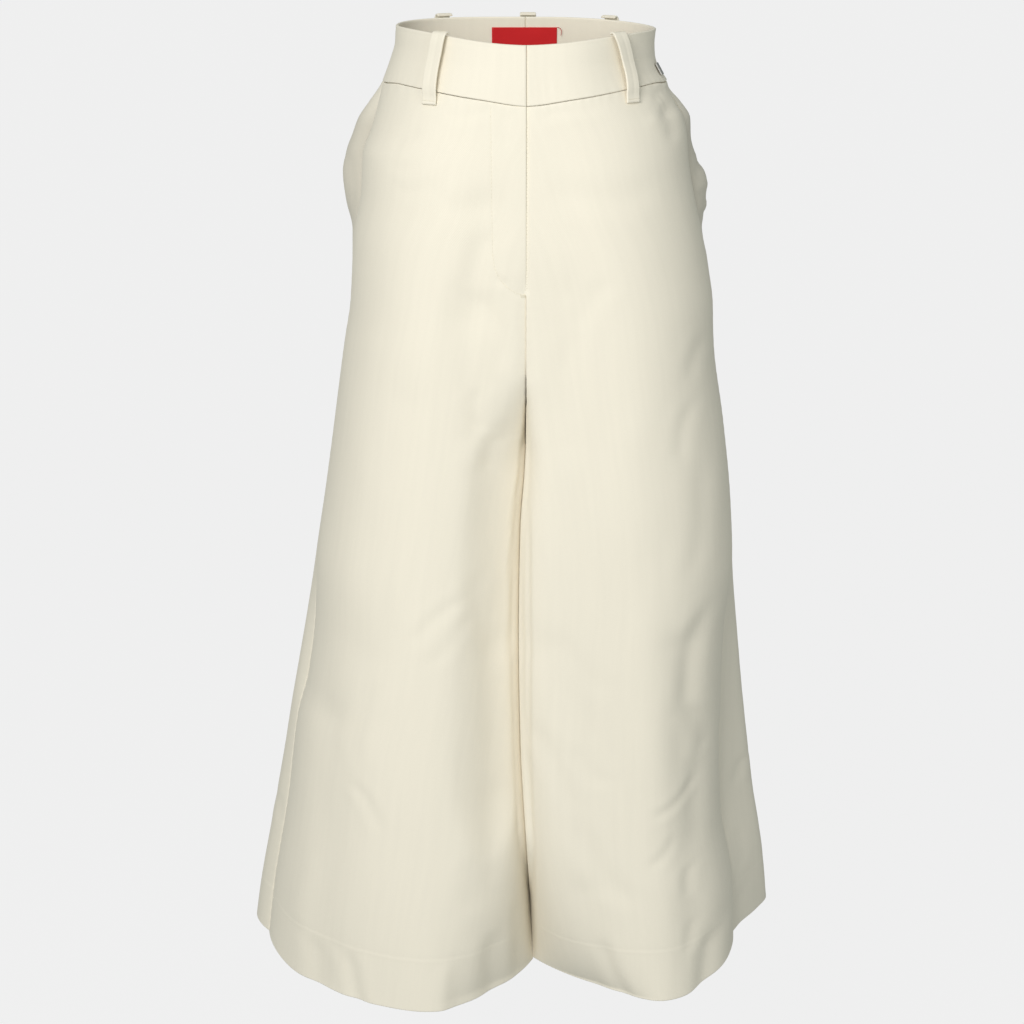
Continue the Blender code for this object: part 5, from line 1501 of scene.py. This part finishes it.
label_depth = BAND_WALL - BAND_PROUD + 0.45 * MM + LABEL_WALL / 2
edges = np.array([0, 0.1, 0.3, 0.6, 1.0, 1.6]) * MM
half_width = LABEL_WIDTH / 2
label_x = spread_across(half_width, edges, 38) + LABEL_X
label_z = LABEL_TOP_Z - np.concatenate((edges, np.linspace(2.6, 25.4, 20) * MM,
                                        LABEL_HEIGHT - edges[::-1]))
backs = [band_frame("back", x, LABEL_MIDDLE_Z) for x in label_x]
base = np.array([point for point, _ in backs])
outward = unit(softened(np.array([out for _, out in backs])[None], 4)[0])
x = np.broadcast_to(base[:, 0], (len(label_z), len(label_x)))
z = np.broadcast_to(label_z[:, None], x.shape)
lean_y = (LABEL_MIDDLE_Z - z) * BAND_LEAN
grid = np.stack([x, base[:, 1] + lean_y, z], axis=-1)
inward = np.broadcast_to(-outward, grid.shape)
from_edge = np.minimum(half_width - np.abs(x - LABEL_X),
                       np.minimum(LABEL_TOP_Z - z, z - LABEL_TOP_Z + LABEL_HEIGHT))
rounding = dropped_edge(from_edge, 0.36 * MM)
wave = 0.25 * MM * np.sin((x - LABEL_X) * 120 + 0.9) * smooth_step(from_edge / 0.008)
hemmed = 0.2 * MM * smooth_step((half_width - 6 * MM - np.abs(x - LABEL_X)) / (0.8 * MM))
face = grid + inward * (label_depth + LABEL_WALL / 2 - rounding + wave - hemmed)[..., None]
rear = grid + inward * (label_depth - LABEL_WALL / 2 + rounding + 0.3 * wave)[..., None]
label_cloth = woven_cloth("label_cloth", (0.62, 0.014, 0.018, 1.0), 520.0, 0.5, 0.75, 0.1,
                          (1.0, 0.6, 0.6, 1.0))
label = cloth_piece("label_patch", face, rear, x, -z, False)
label.data.materials.append(label_cloth)
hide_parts("label")

red_thread = plain_finish("red_thread", (0.55, 0.015, 0.02, 1.0), 0.65, 0.0, 2500, 0.4, 0.15)
stitch_z = np.tile(np.arange(LABEL_TOP_Z - 2.5 * MM, LABEL_TOP_Z - LABEL_HEIGHT, -2.4 * MM), 2)
stitch_x = LABEL_X + np.repeat([-1.0, 1.0], len(stitch_z) // 2) * (half_width - 1.6 * MM)
middles, facing = on_cloth(face, inward, stitch_x, stitch_z)
stitches = thread_row("label_stitches", middles, facing, 1.9 * MM, THREAD_RADIUS,
                      np.tile([0.0, 0.0, 1.0], (len(stitch_x), 1)))
# the loose end: a thin round thread along a soft hook from the label's corner
t = np.linspace(0, 1, 24)
corner = face[1, -2]
path = corner + np.stack([4.2 * np.sin(2.1 * t), -1.2 * np.sin(3 * t), 1.5 * t - 9.5 * t ** 2],
                         axis=-1) * MM
turn = np.linspace(0, 2 * math.pi, 8, endpoint=False)
along = unit(np.gradient(path, axis=0))
aside = unit(np.cross(along, [0.0, 1.0, 0.0]))
thick = 0.28 * MM * np.sqrt(1.02 - (2 * t - 1) ** 8)
rings = path[:, None] + thick[:, None, None] * (
    aside[:, None] * np.cos(turn)[None, :, None]
    + np.cross(along, aside)[:, None] * np.sin(turn)[None, :, None])
loose = small_solids("label_loose_thread", rings, np.zeros((1, 3)), np.array([[1.0, 0, 0]]),
                     np.array([[0, 1.0, 0]]), np.array([[0, 0, 1.0]]))
loose.data.materials.append(red_thread)
stitches.data.materials[0] = red_thread

# ---- Side plate ----------------------------------------------------------------------------
# A small bare metal plate riveted flat on the waistband at the wearer's left side.
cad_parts["side_plate"].data.materials.clear()
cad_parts["side_plate"].data.materials.append(bare_metal)

# ---- Floor, backdrop, lights and camera ----------------------------------------------------
# A pale room without corners, a broad soft light from the front left, and a fill light.
FLOOR_Z = -1.22
SWEEP_RADIUS = 1.2
CAMERA_PLACE = (-0.0127, -2.40, 0.2124)
CAMERA_DOWN = 15.6           # degrees below the horizon
CAMERA_LENS = 92.0

sweep = np.linspace(0, math.pi / 2, 24)
depth = np.concatenate(([-7.0], 3.0 + SWEEP_RADIUS * np.sin(sweep), [3.0 + SWEEP_RADIUS]))
height = np.concatenate(([FLOOR_Z], FLOOR_Z + SWEEP_RADIUS * (1 - np.cos(sweep)), [6.0]))
width = np.linspace(-8, 8, 3)
points = np.stack(np.broadcast_arrays(width, depth[:, None], height[:, None]), axis=-1)
index = np.arange(points.shape[0] * 3).reshape(-1, 3)
quads = np.stack([index[:-1, :-1], index[:-1, 1:], index[1:, 1:], index[1:, :-1]], axis=-1)
backdrop_mesh = bpy.data.meshes.new("backdrop")
backdrop_mesh.from_pydata(points.reshape(-1, 3).tolist(), [], quads.reshape(-1, 4).tolist())
backdrop_mesh.shade_smooth()
backdrop = bpy.data.objects.new("backdrop", backdrop_mesh)
bpy.context.scene.collection.objects.link(backdrop)
paper = bpy.data.materials.new("backdrop_paper")
paper.use_nodes = True
shader = paper.node_tree.nodes["Principled BSDF"]
shader.inputs["Base Color"].default_value = (0.03, 0.03, 0.03, 1.0)
shader.inputs["Roughness"].default_value = 0.95
shader.inputs["Specular IOR Level"].default_value = 0.0
shader.inputs["Emission Color"].default_value = (1.0, 1.0, 1.0, 1.0)
shader.inputs["Emission Strength"].default_value = 0.85
backdrop_mesh.materials.append(paper)
backdrop.visible_diffuse = False
backdrop.visible_glossy = False


def soft_light(name, place, aim, size, power, color):
    """A square area light at a place, turned to face a point."""
    data = bpy.data.lights.new(name, "AREA")
    data.shape, data.size, data.energy, data.color = "SQUARE", size, power, color
    lamp = bpy.data.objects.new(name, data)
    bpy.context.scene.collection.objects.link(lamp)
    lamp.location = place
    away = np.array(place) - np.array(aim)
    lamp.rotation_euler = (math.atan2(math.hypot(away[0], away[1]), away[2]), 0.0,
                           math.atan2(away[1], away[0]) + math.pi / 2)


MIDDLE = (0.0, 0.0, -0.45)
soft_light("key", (-1.1, -3.0, 1.2), MIDDLE, 1.5, 83.0, (1.0, 0.99, 0.97))
soft_light("fill", (1.6, -3.0, 0.5), MIDDLE, 1.5, 19.0, (0.98, 1.0, 0.97))
sky = bpy.data.worlds.new("room")
sky.use_nodes = True
sky.node_tree.nodes["Background"].inputs["Color"].default_value = (0.90, 0.96, 0.93, 1.0)
sky.node_tree.nodes["Background"].inputs["Strength"].default_value = 0.37
bpy.context.scene.world = sky
bpy.context.scene.view_settings.view_transform = "Standard"

camera_data = bpy.data.cameras.new("camera")
camera_data.lens = CAMERA_LENS
camera_data.sensor_width = 36.0
camera = bpy.data.objects.new("camera", camera_data)
camera.location = CAMERA_PLACE
camera.rotation_euler = (math.radians(90 - CAMERA_DOWN), 0.0, 0.0)
bpy.context.scene.collection.objects.link(camera)
bpy.context.scene.camera = camera
